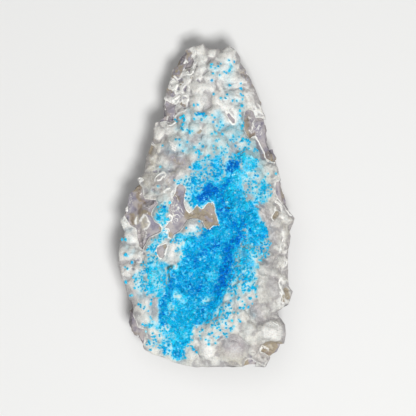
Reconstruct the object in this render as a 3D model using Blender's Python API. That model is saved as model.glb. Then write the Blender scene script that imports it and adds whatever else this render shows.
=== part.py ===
"""Pentagonite on heulandite: a hand specimen that lies on its back, with its face up.

+X runs right across the face, +Y to the narrow tip and +Z out of the face. Every place and
size below is in millimetres, measured from the middle of the face. The last step moves the
specimen's middle to the origin and scales it to metres.
"""

import math
import random

import bpy
from mathutils import Vector, noise
from mathutils.geometry import delaunay_2d_cdt

MM = 0.001
CENTRE = (-0.55, -0.5)  # middle of the rim's own box

# Heights above the surface that the specimen rests on
RIM_Z = 23.0  # where the crust ends at the rim
INNER_Z = 31.5  # under the crust, well inside the rim
RIM_SLOPE = 17.0  # how far in the face goes on rising
WIDEST_Z = 15.0  # where the sides stand out furthest
UNDERCUT_Z = 9.0  # the most that the broken underside lifts at its edge
TIP_FALL = 5.0  # the tip is this much thinner
TIP_START = 12.0  # where it begins to thin
TIP_LENGTH = 68.0
BAND_Z = 28.6  # the broken band's flat top, at the middle of the face
BAND_FALL = 0.1  # how steeply the band's top falls to the right
BAND_FLANK = 0.75  # how steeply its sides fall

# Thicknesses
GAP = 0.3  # between two solids that touch
DRUSE_GAP = 0.35  # between the crust and the crystals on it
CRUST_LIP = 0.9  # the crust's broken edge
CRUST_BODY = 1.5  # what it gains away from its edges
LUMP_RISE = 0.62  # height of a lump, as a share of its radius
LARGE_LUMP = 4.1  # a lump of this radius has points round its flank
FILLER_RADII = (2.1, 3.2)  # smallest and largest of the lumps between those listed
STUB_RISE = 0.9  # broken rock stands this much higher inside a window
STUB_EDGE = 1.4  # how far in from the window's edge it has risen
BODY_EDGE = 3.5  # how far in from its edges the crust is at its thickest
DRUSE_SKIN = 0.55  # crystals at the druse's edge, before their points
POINT_RISE = 1.25  # height of a crystal's point
FLAT_SHARE = 0.2  # crystals that end in a flat face, as a share of all

# Soft unevenness of the rock: its height, and the size of its features
SWAY = 2.4
SWAY_SIZE = 31
BUMP = 0.9
BUMP_SIZE = 9
BLOCK_SIZE = 11  # the blocks that the broken sides part along

# How far the loops round the sides step in from the rim
CRUST_INSET = 0.5
BARE_INSET = 1.2
SHOULDER_INSET = 0.5
FLANK_INSET = 0.9
UNDERCUT_INSET = 2.6
LEDGE = 1.7  # how far a broken block of the sides can step in
LOWEST_SIDE = 1.5  # the sides end at least this high

# Spacing of the points that each surface is drawn through
CRUST_STEP = 2.55
DRUSE_STEP = 2.75
FLOOR_STEP = 6.4
BACK_STEP = 6.2
FILL_STEP = 4.7
JITTER = 0.16  # how far each point is off its honeycomb, as a share of the spacing
CLEAR = 0.62  # how close two points can come, as a share of the spacing
CLEAR_OF_LOOPS = 1.2

# The box that such points are looked for in: its low corner and its size
FIELD_X = -46
FIELD_Y = -84
FIELD_WIDTH = 95
FIELD_LENGTH = 170

# The outline, clockwise from the tip
RIM = (
    (-6, 80), (-2, 80.5), (0, 78.6), (5, 78.4), (7.5, 77.7), (11, 79.6), (14.5, 77.6),
    (16.7, 74), (16.6, 71.6), (18.6, 68.8), (20.7, 64.6), (23, 60.2), (25, 55.2), (26.8, 50),
    (29.4, 43.2), (30.6, 37), (31, 31), (32.5, 27), (34.4, 23.6), (34, 21.3), (35.5, 17),
    (36.9, 12.4), (38, 7), (39, 3), (40, 0), (41.5, -3.5), (43.2, -6.5), (42.7, -9.5),
    (41.5, -14), (41.6, -19), (40.3, -23), (40, -28), (40.6, -32.5), (40.3, -37.5),
    (41, -41), (42.6, -43.6), (42, -47), (40.3, -50.2), (37.6, -51.8), (35, -54),
    (36.2, -56.7), (38.6, -60), (39.4, -65), (38.2, -70), (35.5, -74.5), (31.6, -76.6),
    (30.4, -79.6), (28.4, -81.3), (24, -81), (18, -81.5), (9, -81.4), (0, -81.5), (-8.5, -81),
    (-14, -80), (-18.5, -77.8), (-24, -76), (-30.5, -73.5), (-33, -70.5), (-35.5, -66.5),
    (-38.5, -63.5), (-39.5, -60), (-38.5, -55), (-38.8, -50), (-39.3, -46), (-41.4, -40),
    (-43.2, -34.5), (-44.2, -28), (-44.3, -23.5), (-43, -19), (-41, -14), (-42, -11),
    (-43, -8.4), (-41.5, -5.4), (-41.6, 0), (-40.8, 5.4), (-37.5, 8), (-33.7, 10.4),
    (-34.2, 13), (-31.5, 16.2), (-30.9, 20), (-30, 24.5), (-28, 29), (-26.8, 34),
    (-26.4, 38), (-25.3, 41.6), (-22.2, 45), (-22.2, 49), (-21.4, 53), (-19.8, 57),
    (-19, 61), (-18.1, 64.8), (-17.2, 68), (-15.4, 71.2), (-13.8, 74.2), (-11, 77.8),
)

# Bare rock along the rim: paths that start and end at corners of the rim
BITES = {
    "right_patch": (
        (29.4, 43.2), (27.5, 43.4), (26, 44), (24.5, 43.6), (24, 45.2), (23.4, 47), (21, 47.8),
        (19.2, 46.5), (18.7, 44), (18.6, 40.5), (19, 37), (19.9, 34.5), (21.5, 33), (23, 34.6),
        (24.6, 35), (25.8, 33), (27.4, 30), (28.8, 26.5), (29.9, 23), (31.4, 21.4), (34, 21.3),
    ),
    "right_wall": (
        (36.9, 12.4), (34.2, 11.4), (34.2, 8), (35, 4), (36.6, 1), (38.8, -1.5), (41.5, -3.5),
    ),
    "corner_break": (
        (38.2, -70), (36, -69.9), (33, -69.3), (30.3, -70.2), (28.4, -71.1), (26.7, -72),
        (27.2, -73.8), (29, -74.6), (31.6, -76.6),
    ),
    "foot_spot": ((24, -81), (24.4, -78.9), (22.6, -77.5), (20.3, -77.4), (18.6, -78.6), (18, -81.5)),
    "left_wall": (
        (-30.5, -73.5), (-30.8, -70.5), (-31.3, -66), (-32, -62.4), (-34.3, -62), (-35.4, -59.5),
        (-36, -55.5), (-36, -51.5), (-36.8, -48.5), (-39.3, -46),
    ),
    "left_break": (
        (-41.5, -5.4), (-39.3, -8.2), (-38.5, -10.4), (-35.2, -12.2), (-34.7, -17), (-34, -20.5),
        (-32.3, -22.3), (-30.2, -18.8), (-28.3, -16.4), (-25.5, -14.8), (-22.9, -13.3),
        (-22.7, -11.4), (-24.2, -9.6), (-26.4, -8.6), (-28, -5.2), (-27.5, -2.6), (-24.8, 0.8),
        (-25.8, 2.5), (-28.2, 2.1), (-31, 2.7), (-31.9, 4.4), (-31.6, 8.4), (-33.7, 10.4),
    ),
    "shoulder_patch": (
        (-25.3, 41.6), (-22.4, 41.7), (-20.5, 42.3), (-18.8, 41.6), (-17, 42.2), (-16.5, 44.2),
        (-15.3, 46), (-16, 48), (-15.4, 50), (-17.5, 51.1), (-21.4, 53),
    ),
    "tip_bevel": ((-17.2, 68), (-14.2, 69.2), (-12.5, 71.4), (-11, 73.6), (-9.4, 75.8), (-11, 77.8)),
}

# Bare rock inside the crust
WINDOWS = {
    "broken_band": (
        (-15.3, 8.4), (-13.7, 10), (-12, 9.8), (-11, 8), (-11.2, 4), (-11.8, 0.5), (-10.6, -2.8),
        (-8.8, -4.6), (-7, -2.6), (-5, -0.5), (-3, -2.2), (-1.6, -2.1), (-0.4, -0.2), (0.8, 0.6),
        (2.7, 0.4), (3.6, -1.2), (4, -4.2), (5, -6.8), (6, -10.2), (3.4, -10.7), (0.4, -12.4),
        (-0.9, -10.6), (-2.8, -7.7), (-5, -7), (-7.6, -7.2), (-9.6, -8), (-11.4, -10.2),
        (-13.6, -12.8), (-16, -14.6), (-17.6, -17), (-19.3, -16.2), (-19.2, -13), (-20.8, -11.2),
        (-18.1, -7.8), (-18.3, -4.8), (-19, -1.6), (-17.8, 1.2), (-17.1, 4), (-15.6, 6),
    ),
    "islet": (
        (-20, -19.6), (-19.6, -21.2), (-21, -22.8), (-21.1, -25.2), (-22, -26.7), (-23.7, -26.2),
        (-24.9, -24.4), (-24.8, -21.8), (-23.3, -20.2),
    ),
    "lozenge": ((10.9, 46), (14, 42.6), (13.9, 41), (12.5, 40.3), (10.1, 43.6), (10, 45.2)),
    "eye": ((-7.3, 74.4), (-6.5, 72.2), (-7, 70.2), (-8.4, 68.8), (-11.2, 68.6), (-10.6, 71), (-8.8, 72.4)),
}

# The blue crusts of crystals
DRUSE = (
    (-9.6, 12), (-6.5, 14.6), (-3.5, 16), (-1, 14), (1.5, 12.4), (4.2, 13.2), (6.2, 15.6),
    (7.8, 18), (8.4, 21.4), (10.6, 22.2), (12.6, 21), (14.6, 22), (16.7, 21), (16.6, 18.2),
    (13.6, 15.6), (13.8, 13.4), (17.6, 12), (18.3, 8), (18, 5.4), (20.4, 1.2), (23.6, 4.4),
    (25.6, 6), (27, 10), (29.6, 12.4), (31, 10), (28.6, 5.4), (28, 2), (25.8, 0.4),
    (24.4, -2.4), (23.6, -5.4), (25.2, -8), (28, -8.4), (30, -10.4), (30, -16.6), (32, -19),
    (31.4, -22), (29.2, -22.6), (27, -20), (21, -19.2), (17.6, -20.2), (16.6, -25.6),
    (14, -30), (13.2, -36), (9.8, -41.6), (8, -47.6), (3.6, -54), (0.6, -57.6), (-5.6, -60.6),
    (-7, -64.2), (-10.2, -70.6), (-11.6, -75), (-13.6, -77.8), (-16.2, -78), (-18.4, -75.8),
    (-20.6, -73.4), (-23.6, -73), (-23.6, -70.8), (-19.9, -66.4), (-20.3, -62.4),
    (-24.8, -57), (-24.8, -53.4), (-24, -47), (-19.9, -42.4), (-18.3, -36), (-18.5, -32),
    (-15, -29.6), (-12.4, -25), (-12.8, -17.2), (-11, -14.8), (-4, -14.6), (0.6, -14),
    (2.6, -12.2), (7.2, -11.4), (7, -8.2), (5.2, -3.2), (4.8, 0.6), (3, 2), (0.6, 1.9),
    (-1, 0.6), (-2.2, -0.8), (-4.6, 1.2), (-8, 2.2), (-10, 4),
)
POCKET = (
    (-24.2, 0), (-21.7, -0.3), (-20.3, -2.2), (-20, -5.6), (-21, -8.6), (-24, -7.8),
    (-26, -6.8), (-26.6, -4.6), (-25.8, -2.2),
)
CROWN = (
    (18.6, 25.4), (20.6, 26.6), (22.4, 24.8), (24, 22.4), (23.2, 17.6), (21.4, 15.2),
    (19.2, 15), (18.6, 18), (18.4, 22),
)

# Sprays that stand out of the druse: middle, radius and how much longer their crystals are
TUFTS = ((12.2, 19, 5, 1.5), (1.5, 6.5, 7.5, 1.3), (-8.5, -27, 4, 0.6), (17.5, -15.5, 4, 0.6))

# Swells of the rock under the crust: middle, radius, height
SWELLS = (
    (-31, -36, 11, 3.2), (21, -36, 9, 2.6), (32, -64, 8, 2.2), (13, -74, 8, 1.8), (2, 46, 12, 1.6),
    (20, 22, 8, 2), (-7, -11, 5, 1.8), (-23, -3, 6, 1.2), (10, 72, 8, 1.4), (30, -10, 8, 1.4),
    (-17, 31, 6, 1.6), (-30, -66, 6, 1.4),
)

# Channels and hollows: width, depth, and the points that they run through
HOLLOWS = (
    (12, 7, ((5, 5), (8, -12), (0, -30), (-10, -50), (-15, -68))),
    (4, 4.5, ((12, -10), (12, -20), (8, -30), (5, -42), (0, -54))),
    (3, 4, ((-16, -31), (-19, -40), (-24, -50), (-24.5, -57))),
    (5, 5, ((1.5, 6.5), (2, 6))),
    (2.6, 3.5, ((20.2, 9), (20.5, 3))),
    (4, 2.6, ((-16, 23), (-12, 21))),
    (3.6, 3, ((-1, 17), (3, 13))),
    (2.4, 2.6, ((13.2, 30), (13.2, 23))),
    (2.2, 2.4, ((25.6, 31), (28.2, 23))),
    (2.4, 2.2, ((0.4, 54), (0, 48))),
    (2.6, 2.4, ((5.6, 43), (6.4, 38.5), (9.5, 38))),
    (2.4, 2.2, ((7, 61), (9, 57.6), (12, 57.4))),
    (3, 2.4, ((-9.5, 31), (-4, 33))),
    (2.6, 2.4, ((29.6, -29), (31, -24), (33, -15))),
    (2.8, 2.4, ((22.6, -53), (24.5, -56))),
    (3, 2.4, ((6.5, -67), (13, -66), (19, -70))),
    (2.6, 2, ((27, -58), (30, -57))),
    (2.6, 2, ((-26, -45), (-27, -52))),
)

# The round lumps of the crust: middle and radius
LUMPS = (
    (-4, 77.6, 3), (11.2, 74.6, 5.2), (2, 76, 2.6), (-2.8, 73, 3.4), (-2.5, 68.8, 3.2),
    (3.6, 69, 3.6), (8.6, 68.6, 3.2), (13.6, 69, 3), (2, 63.4, 3.2), (7.6, 64.2, 2.8),
    (13, 64.6, 3), (-4, 64, 3), (-4.6, 58, 4), (-9.6, 61.6, 2.8), (1.6, 58.6, 3), (17.4, 62, 3),
    (-13.4, 58.4, 2.8), (-12, 53.6, 3), (-4, 52.2, 4.4), (5, 53, 3.8), (11, 54, 3),
    (16.2, 54.8, 3.2), (21.4, 55, 3.2), (9.2, 49, 3), (4, 46.6, 4), (9.6, 42.6, 3.4),
    (-5, 45.2, 3.8), (-11.4, 43.8, 3.4), (-0.4, 42.6, 3.2), (15.8, 46.6, 2.8), (21.4, 50.6, 3),
    (25.8, 47.4, 2.6), (-18, 37.6, 3.6), (-12, 38.4, 3.4), (-6.6, 38, 3.2), (1.4, 37.4, 3.4),
    (11.8, 35.6, 3.4), (-23.4, 36, 3), (-16, 30, 5), (-4.6, 30.4, 3), (1, 31.4, 3.2),
    (7, 31, 4), (18.4, 31.4, 3.4), (22.6, 29.8, 3), (-23.2, 29, 3), (-26.6, 23.6, 2.8),
    (-22, 22, 3), (-6.6, 24, 3.8), (0.4, 25.6, 2.8), (6, 25.4, 3), (10.4, 27.4, 2.6),
    (20.8, 21.6, 4.4), (26, 20.8, 3.6), (24.4, 14.8, 3.6), (30, 17, 3), (16, 14, 2.6),
    (24.2, 8.4, 2.8), (31.6, 5, 3.2), (-28, 18, 3), (-28.6, 12, 3.2), (-22.6, 13.6, 2.8),
    (-14, 15.2, 2.8), (-20.6, 8, 2.8), (-26.6, 6.4, 3), (-8.6, -0.8, 2.2), (-22.6, -4, 3.4),
    (-40.4, -10, 2.4), (-37.6, -17, 3.2), (-40, -24.4, 4.2), (-35.2, -25.6, 3.4),
    (-28, -20, 3), (-24, -17.2, 2.2), (-7, -11, 4.4), (-17, -20.6, 2.8), (-17.6, -25.6, 3.6),
    (-27.6, -28, 3.2), (-34.4, -33, 3.8), (-40, -33, 3.4), (-28.4, -34.4, 3.6),
    (-22.6, -33.4, 3.2), (-36, -40, 3.8), (-29.4, -40.6, 3.6), (-23.4, -39.4, 3.4),
    (-31.6, -49.8, 4.6), (-31.6, -57, 3.6), (-28.2, -63.6, 3.4), (-24, -66, 3), (-28, -70, 2.8),
    (27.6, -3.6, 3.4), (32.6, -3, 3), (38, -6, 3), (34, -9.6, 3), (39, -14.6, 2.8),
    (34, -15.6, 3.2), (30.4, -19.6, 2.8), (36.4, -21.4, 3.6), (22.6, -25, 5), (31, -27.4, 3),
    (37.4, -29, 3), (31.2, -34, 4.2), (37.2, -36.6, 3.4), (17.4, -33, 3.4), (23.4, -33.6, 3),
    (27.4, -40.6, 4), (34, -43, 3.8), (18.4, -40.4, 4), (39.4, -45, 2.8), (16.4, -48, 3.6),
    (21.6, -46.4, 3.2), (28.6, -48, 3.6), (34.6, -50, 3), (30, -53.6, 3.2), (17.4, -55.6, 4),
    (10.4, -51.6, 3), (22.4, -61, 4), (34.4, -58.6, 3), (32.4, -64.8, 5.6), (13.6, -60.4, 3.2),
    (7.6, -58.6, 3.4), (2.4, -62, 3.2), (18.6, -65.6, 3.6), (24.4, -68, 3.6), (-1, -67, 3.2),
    (0.4, -73.6, 5), (-6.6, -70, 3), (-8, -76.4, 3.2), (12.4, -73.4, 6), (16, -78.6, 3.4),
    (22.4, -73.4, 2.8), (27, -77.8, 3), (6, -78.6, 3),
)

# Planes of the broken underside: a point at rest level, the way it climbs in degrees, its slope
FRACTURES = (
    (20, -20, -8, 0.5), (-22, -18, 176, 0.42), (1, 46, 96, 0.3), (2, -62, 268, 0.5),
    (12, 22, 30, 0.55), (-13, 14, 150, 0.5), (20, -46, -40, 0.6), (-19, -50, 222, 0.5),
    (28, 2, 18, 0.9), (-30, -4, 166, 1.0), (4, 62, 60, 0.8), (30, -62, -20, 1.0),
)
SPINE = (-58, 56)  # the insets head for this stretch of the middle line


def smooth(share):
    """Eases a share of a step between 0 and 1."""
    share = min(max(share, 0), 1)
    return share * share * (3 - 2 * share)


def to_path(x, y, path):
    """Distance from a point to a path of straight stretches."""
    nearest = math.inf
    for (ax, ay), (bx, by) in zip(path, path[1:]):
        dx, dy = bx - ax, by - ay
        along = ((x - ax) * dx + (y - ay) * dy) / (dx * dx + dy * dy)
        along = min(max(along, 0), 1)
        nearest = min(nearest, math.hypot(x - ax - along * dx, y - ay - along * dy))
    return nearest


def to_loop(x, y, loop):
    return to_path(x, y, (*loop, loop[0]))


def inside(x, y, loop):
    """Whether a point lies inside a loop, by the sides that a ray from it crosses."""
    within = False
    for (ax, ay), (bx, by) in zip(loop, (*loop[1:], loop[0])):
        if (ay > y) != (by > y) and x < ax + (y - ay) * (bx - ax) / (by - ay):
            within = not within
    return within


def stepped_in(point, distance):
    """Moves a point of the rim towards the middle line."""
    x, y = point
    target_y = min(max(y, SPINE[0]), SPINE[1])
    dx, dy = -x, target_y - y
    share = distance / math.hypot(dx, dy)
    return (x + dx * share, y + dy * share)


def rough(x, y, size, seed):
    """Soft noise between about -1 and 1, with features of the size given."""
    return noise.noise(Vector((x / size, y / size, seed)))


def blocky(x, y, z, size):
    """Noise between 0 and 1 that jumps from block to block, as broken rock does."""
    slanted = Vector((x + 0.45 * y, y - 0.3 * x + 0.5 * z, z - 0.35 * x)) / size
    return 0.5 + 0.5 * noise.cell(slanted)


def tip_fall(y):
    """How much lower the specimen is as it narrows to the tip, as a share of the whole fall."""
    return smooth((y - TIP_START) / TIP_LENGTH)


def bitten_corners():
    """The corners of the rim that lie along a bite of bare rock, without the bite's two ends."""
    corners = set()
    for path in BITES.values():
        first, last = RIM.index(path[0]), RIM.index(path[-1])
        corners.update(range(first + 1, last))
    return corners


def face_edge():
    """The loop where the face turns over into the sides."""
    bare = bitten_corners()
    return [
        stepped_in(point, BARE_INSET if index in bare else CRUST_INSET)
        for index, point in enumerate(RIM)
    ]


def crust_edge(edge):
    """The face's edge, with each bite's path in place of the corners that it cuts off."""
    bare = bitten_corners()
    starts = {RIM.index(path[0]): path for path in BITES.values()}
    loop = []
    for index, point in enumerate(edge):
        if index not in bare:
            loop.append(point)
        if index in starts:
            loop += starts[index][1:-1]
    return loop


EDGE = face_edge()
CRUST = crust_edge(EDGE)


def in_window(x, y):
    return any(inside(x, y, loop) for loop in WINDOWS.values())


def in_crust(x, y):
    return inside(x, y, CRUST) and not in_window(x, y)


def to_window(x, y):
    """Distance to the nearest bare rock that the crust goes round."""
    closed = min(to_loop(x, y, loop) for loop in WINDOWS.values())
    return min(closed, *(to_path(x, y, path[1:-1]) for path in BITES.values()))


def rock_level(x, y):
    """Height of the rock under the crust."""
    z = RIM_Z + (INNER_Z - RIM_Z) * smooth(to_loop(x, y, EDGE) / RIM_SLOPE)
    z += SWAY * rough(x, y, SWAY_SIZE, 2.2) - TIP_FALL * tip_fall(y)
    for cx, cy, radius, height in SWELLS:
        z += height * math.exp(-((x - cx) ** 2 + (y - cy) ** 2) / radius**2)
    for width, depth, path in HOLLOWS:
        z -= depth * math.exp(-((to_path(x, y, path) / width) ** 2))
    z += BUMP * rough(x, y, BUMP_SIZE, 3.7)
    return max(z, band_level(x, y))


def band_level(x, y):
    """The broken band is the flat top of a mound that stands in the hollow."""
    loop = WINDOWS["broken_band"]
    level = BAND_Z - BAND_FALL * x
    if inside(x, y, loop):
        return level
    return level - BAND_FLANK * to_loop(x, y, loop)


def bare_rock(x, y):
    """Height of the rock's surface, which stands a little higher where the crust has gone."""
    z = rock_level(x, y)
    if in_crust(x, y) or not inside(x, y, EDGE):
        return z
    stub = smooth(min(to_loop(x, y, CRUST), to_window(x, y)) / STUB_EDGE)
    stub *= smooth(to_loop(x, y, EDGE) / STUB_EDGE)
    return z + stub * (STUB_RISE + 0.5 * rough(x, y, 4, 8.1))


def crust_level(x, y, lumps):
    """Height of the crust's surface: round lumps that meet in creases, thin at every edge."""
    away = to_window(x, y)
    inwards = to_loop(x, y, CRUST)
    lump = 0
    for cx, cy, radius in lumps:
        reach = ((x - cx) ** 2 + (y - cy) ** 2) / radius**2
        if reach < 1:
            lump = max(lump, LUMP_RISE * radius * math.sqrt(1 - reach))
    body = CRUST_BODY * smooth(min(away, inwards) / BODY_EDGE)
    fade = smooth(away / 2.6) * smooth(0.35 + inwards / 2.2)
    return rock_level(x, y) + GAP + CRUST_LIP + body + lump * fade


def scattered(step, area, taken, draw, clear=CLEAR):
    """Points on a jittered honeycomb inside an area, clear of the points already taken."""
    points = list(taken)
    found = []
    row_step = step * 0.866
    for row in range(int(FIELD_LENGTH / row_step)):
        for column in range(int(FIELD_WIDTH / step)):
            x = FIELD_X + step * (column + 0.5 * (row % 2)) + draw.uniform(-JITTER, JITTER) * step
            y = FIELD_Y + row_step * row + draw.uniform(-JITTER, JITTER) * step
            if not area(x, y):
                continue
            if any(math.hypot(x - px, y - py) < clear * step for px, py in points):
                continue
            points.append((x, y))
            found.append((x, y))
    return found


def filler_lumps(draw):
    """Smaller lumps between the ones listed."""
    listed = [(x, y) for x, y, radius in LUMPS]
    spots = scattered(FILL_STEP, in_crust, listed, draw, 0.75)
    return [(x, y, draw.uniform(*FILLER_RADII)) for x, y in spots]


def ring(x, y, radius, count):
    turn = math.tau / count
    return [(x + radius * math.cos(k * turn), y + radius * math.sin(k * turn)) for k in range(count)]


def flat_sheet(loops, points):
    """Triangles over loops and loose points, each as three places that turn left."""
    spots = [Vector(point) for point in points]
    edges = []
    for loop in loops:
        first, count = len(spots), len(loop)
        spots += [Vector(point) for point in loop]
        edges += [(first + k, first + (k + 1) % count) for k in range(count)]
    spots, _, faces, _, _, _ = delaunay_2d_cdt(spots, edges, [], 0, 1e-3, False)
    sheet = []
    for face in faces:
        a, b, c = (spots[index] for index in face)
        turn = (b.x - a.x) * (c.y - a.y) - (b.y - a.y) * (c.x - a.x)
        sheet.append((a, b, c) if turn > 0 else (a, c, b))
    return sheet


def part_of(sheet, area):
    """The triangles of a sheet whose middle lies in an area."""
    return [
        (a, b, c)
        for a, b, c in sheet
        if area((a.x + b.x + c.x) / 3, (a.y + b.y + c.y) / 3)
    ]


def lifted(sheet, height):
    """A flat sheet's triangles in space, facing up."""
    return [tuple((p.x, p.y, height(p.x, p.y)) for p in face) for face in sheet]


def flipped(faces):
    return [(a, c, b) for a, b, c in faces]


def border(sheet):
    """The sides that only one triangle of a sheet has, each running with its triangle on the left."""
    sides = {}
    for a, b, c in sheet:
        for start, end in ((a, b), (b, c), (c, a)):
            sides[(round(start.x, 4), round(start.y, 4)), (round(end.x, 4), round(end.y, 4))] = (start, end)
    return [ends for (start, end), ends in sides.items() if (end, start) not in sides]


def wall(sheet, top, bottom):
    """Upright triangles that close the border between two heights."""
    faces = []
    for start, end in border(sheet):
        low_start = (start.x, start.y, bottom(start.x, start.y))
        low_end = (end.x, end.y, bottom(end.x, end.y))
        high_start = (start.x, start.y, top(start.x, start.y))
        high_end = (end.x, end.y, top(end.x, end.y))
        faces += [(low_start, low_end, high_end), (low_start, high_end, high_start)]
    return faces


def band_between(upper, lower):
    """Triangles between two clockwise loops that have as many corners as each other."""
    faces = []
    count = len(upper)
    for k in range(count):
        a, b = upper[k], upper[(k + 1) % count]
        c, d = lower[k], lower[(k + 1) % count]
        faces += [(a, b, d), (a, d, c)]
    return faces


def paint(name, colour, roughness):
    material = bpy.data.materials.new(name)
    material.use_nodes = True
    shader = material.node_tree.nodes["Principled BSDF"]
    shader.inputs["Base Color"].default_value = (*colour, 1)
    shader.inputs["Roughness"].default_value = roughness
    shader.inputs["Metallic"].default_value = 0
    return material


def make_solid(name, faces, material):
    """One object from loose triangles in millimetres, with the corners that meet made one."""
    corners = {}
    triangles = []
    for face in faces:
        triangle = []
        for x, y, z in face:
            place = (round(x, 3), round(y, 3), round(z, 3))
            triangle.append(corners.setdefault(place, len(corners)))
        triangles.append(triangle)
    points = [((x - CENTRE[0]) * MM, (y - CENTRE[1]) * MM, z * MM) for x, y, z in corners]
    mesh = bpy.data.meshes.new(name)
    mesh.from_pydata(points, [], triangles)
    mesh.materials.append(material)
    solid = bpy.data.objects.new(name, mesh)
    bpy.context.collection.objects.link(solid)
    return solid


def underside(x, y):
    """Height of the broken underside: flat where it rests, and fracture planes around that."""
    z = 0
    for px, py, turn, slope in FRACTURES:
        angle = math.radians(turn)
        z = max(z, slope * ((x - px) * math.cos(angle) + (y - py) * math.sin(angle)))
    if z > 0.4:
        z += 0.8 * rough(x, y, 7, 5.3) * smooth(z / 3)
    return min(max(z, 0), UNDERCUT_Z)


def side_loop(inset, level):
    """A loop round the broken sides, at its own height, with blocks that step in."""
    loop = []
    for x, y in RIM:
        z = level - 0.7 * TIP_FALL * tip_fall(y) + 1.2 * rough(x, y, BLOCK_SIZE, level)
        loop.append((*stepped_in((x, y), inset + LEDGE * blocky(x, y, z, BLOCK_SIZE)), z))
    return loop


def make_matrix(floor):
    """The basalt: the face under the crust, the broken sides and the underside."""

    def in_face(x, y):
        return inside(x, y, EDGE)

    def in_undercut(x, y):
        return inside(x, y, undercut)

    def back_level(x, y):
        return edge_heights.get((round(x, 3), round(y, 3)), underside(x, y))

    top = [(x, y, bare_rock(x, y)) for x, y in EDGE]
    shoulder = side_loop(SHOULDER_INSET, 0.5 * (RIM_Z + WIDEST_Z))
    widest = [(x, y, WIDEST_Z - 0.6 * TIP_FALL * tip_fall(y)) for x, y in RIM]
    flank = side_loop(FLANK_INSET, 0.5 * (WIDEST_Z + UNDERCUT_Z))
    undercut = [stepped_in(point, UNDERCUT_INSET + LEDGE * blocky(*point, 0, 9)) for point in RIM]
    low = [(x, y, min(max(underside(x, y), LOWEST_SIDE), UNDERCUT_Z)) for x, y in undercut]
    edge_heights = {(round(x, 3), round(y, 3)): z for x, y, z in low}
    points = scattered(BACK_STEP, in_undercut, undercut, random.Random(5))
    back = part_of(flat_sheet([undercut], points), in_undercut)
    faces = lifted(part_of(floor, in_face), bare_rock)
    for upper, lower in ((top, shoulder), (shoulder, widest), (widest, flank), (flank, low)):
        faces += band_between(upper, lower)
    faces += flipped(lifted(back, back_level))
    make_solid("basalt_matrix", faces, paint("basalt", (0.28, 0.25, 0.27), 0.85))


def make_crust(floor, surface, level):
    """The white crust over the rock, with its windows."""

    def bed(x, y):
        return rock_level(x, y) + GAP

    under = part_of(floor, in_crust)
    over = part_of(surface, in_crust)
    faces = lifted(over, level)
    faces += flipped(lifted(under, bed))
    faces += wall(over, level, bed)
    make_solid("heulandite_crust", faces, paint("heulandite", (0.78, 0.77, 0.74), 0.5))


def point_height(x, y, outline):
    """How tall the crystals' points are: taller in the sprays and low at the cover's edge."""
    tall = 1
    for cx, cy, radius, extra in TUFTS:
        tall += extra * math.exp(-((x - cx) ** 2 + (y - cy) ** 2) / radius**2)
    return tall * (0.35 + 0.65 * smooth(to_loop(x, y, outline) / 3))


def make_druse(name, outline, surface, level, draw):
    """Crystals grown together: each triangle of the surface below carries a flat-faced point."""

    def in_outline(x, y):
        return inside(x, y, outline)

    def bottom(x, y):
        return level(x, y) + DRUSE_GAP

    def skin(x, y):
        return bottom(x, y) + DRUSE_SKIN * point_height(x, y, outline)

    base = part_of(surface, in_outline)
    faces = flipped(lifted(base, bottom)) + wall(base, skin, bottom)
    for a, b, c in base:
        corners = [(p.x, p.y, skin(p.x, p.y)) for p in (a, b, c)]
        if draw.random() < FLAT_SHARE:
            faces.append(tuple(corners))
            continue
        shares = [1 + draw.uniform(-0.45, 0.45) for corner in corners]
        x, y, z = (sum(s * p[k] for s, p in zip(shares, corners)) / sum(shares) for k in range(3))
        z += POINT_RISE * point_height(x, y, outline) * draw.uniform(0.6, 1.4)
        for k in range(3):
            faces.append((corners[k], corners[(k + 1) % 3], (x, y, z)))
    make_solid(name, faces, paint(name, (0.01, 0.27, 0.62), 0.3))


def in_covers(x, y):
    return any(inside(x, y, loop) for loop in (DRUSE, POCKET, CROWN))


def surface_points(lumps, draw):
    """Loose points for the crust's surface: the lumps' tops and flanks, then an even fill."""
    loops = [CRUST, DRUSE, POCKET, CROWN, *WINDOWS.values()]

    def clear(x, y):
        return in_crust(x, y) and min(to_loop(x, y, loop) for loop in loops) > CLEAR_OF_LOOPS

    def covered(x, y):
        return clear(x, y) and in_covers(x, y)

    def open_crust(x, y):
        return clear(x, y) and not in_covers(x, y)

    tops = [(x, y) for x, y, radius in lumps if clear(x, y)]
    for x, y, radius in lumps:
        if radius > LARGE_LUMP:
            tops += [spot for spot in ring(x, y, 0.64 * radius, 7) if clear(*spot)]
    tops += scattered(DRUSE_STEP, covered, tops, draw)
    tops += scattered(CRUST_STEP, open_crust, tops, draw)
    return tops


def floor_points(draw):
    """Loose points for the rock under the crust, closer together where it is bare."""
    loops = [EDGE, CRUST, *WINDOWS.values()]

    def clear(x, y):
        return inside(x, y, EDGE) and min(to_loop(x, y, loop) for loop in loops) > CLEAR_OF_LOOPS

    def bare(x, y):
        return clear(x, y) and not in_crust(x, y)

    def hidden(x, y):
        return clear(x, y) and in_crust(x, y)

    points = scattered(CRUST_STEP, bare, [], draw)
    points += scattered(FLOOR_STEP, hidden, points, draw)
    return points


def main():
    for old in list(bpy.data.objects):
        bpy.data.objects.remove(old)
    draw = random.Random(11)
    lumps = [*LUMPS, *filler_lumps(draw)]
    shared = [CRUST, *WINDOWS.values()]
    floor = flat_sheet([EDGE, *shared], floor_points(draw))
    surface = flat_sheet([*shared, DRUSE, POCKET, CROWN], surface_points(lumps, draw))
    heights = {}

    def level(x, y):
        place = (round(x, 4), round(y, 4))
        if place not in heights:
            heights[place] = crust_level(x, y, lumps)
        return heights[place]

    make_matrix(floor)
    make_crust(floor, surface, level)
    make_druse("pentagonite_druse", DRUSE, surface, level, draw)
    make_druse("pentagonite_pocket_cluster", POCKET, surface, level, draw)
    make_druse("pentagonite_crown_patch", CROWN, surface, level, draw)


main()
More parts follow.
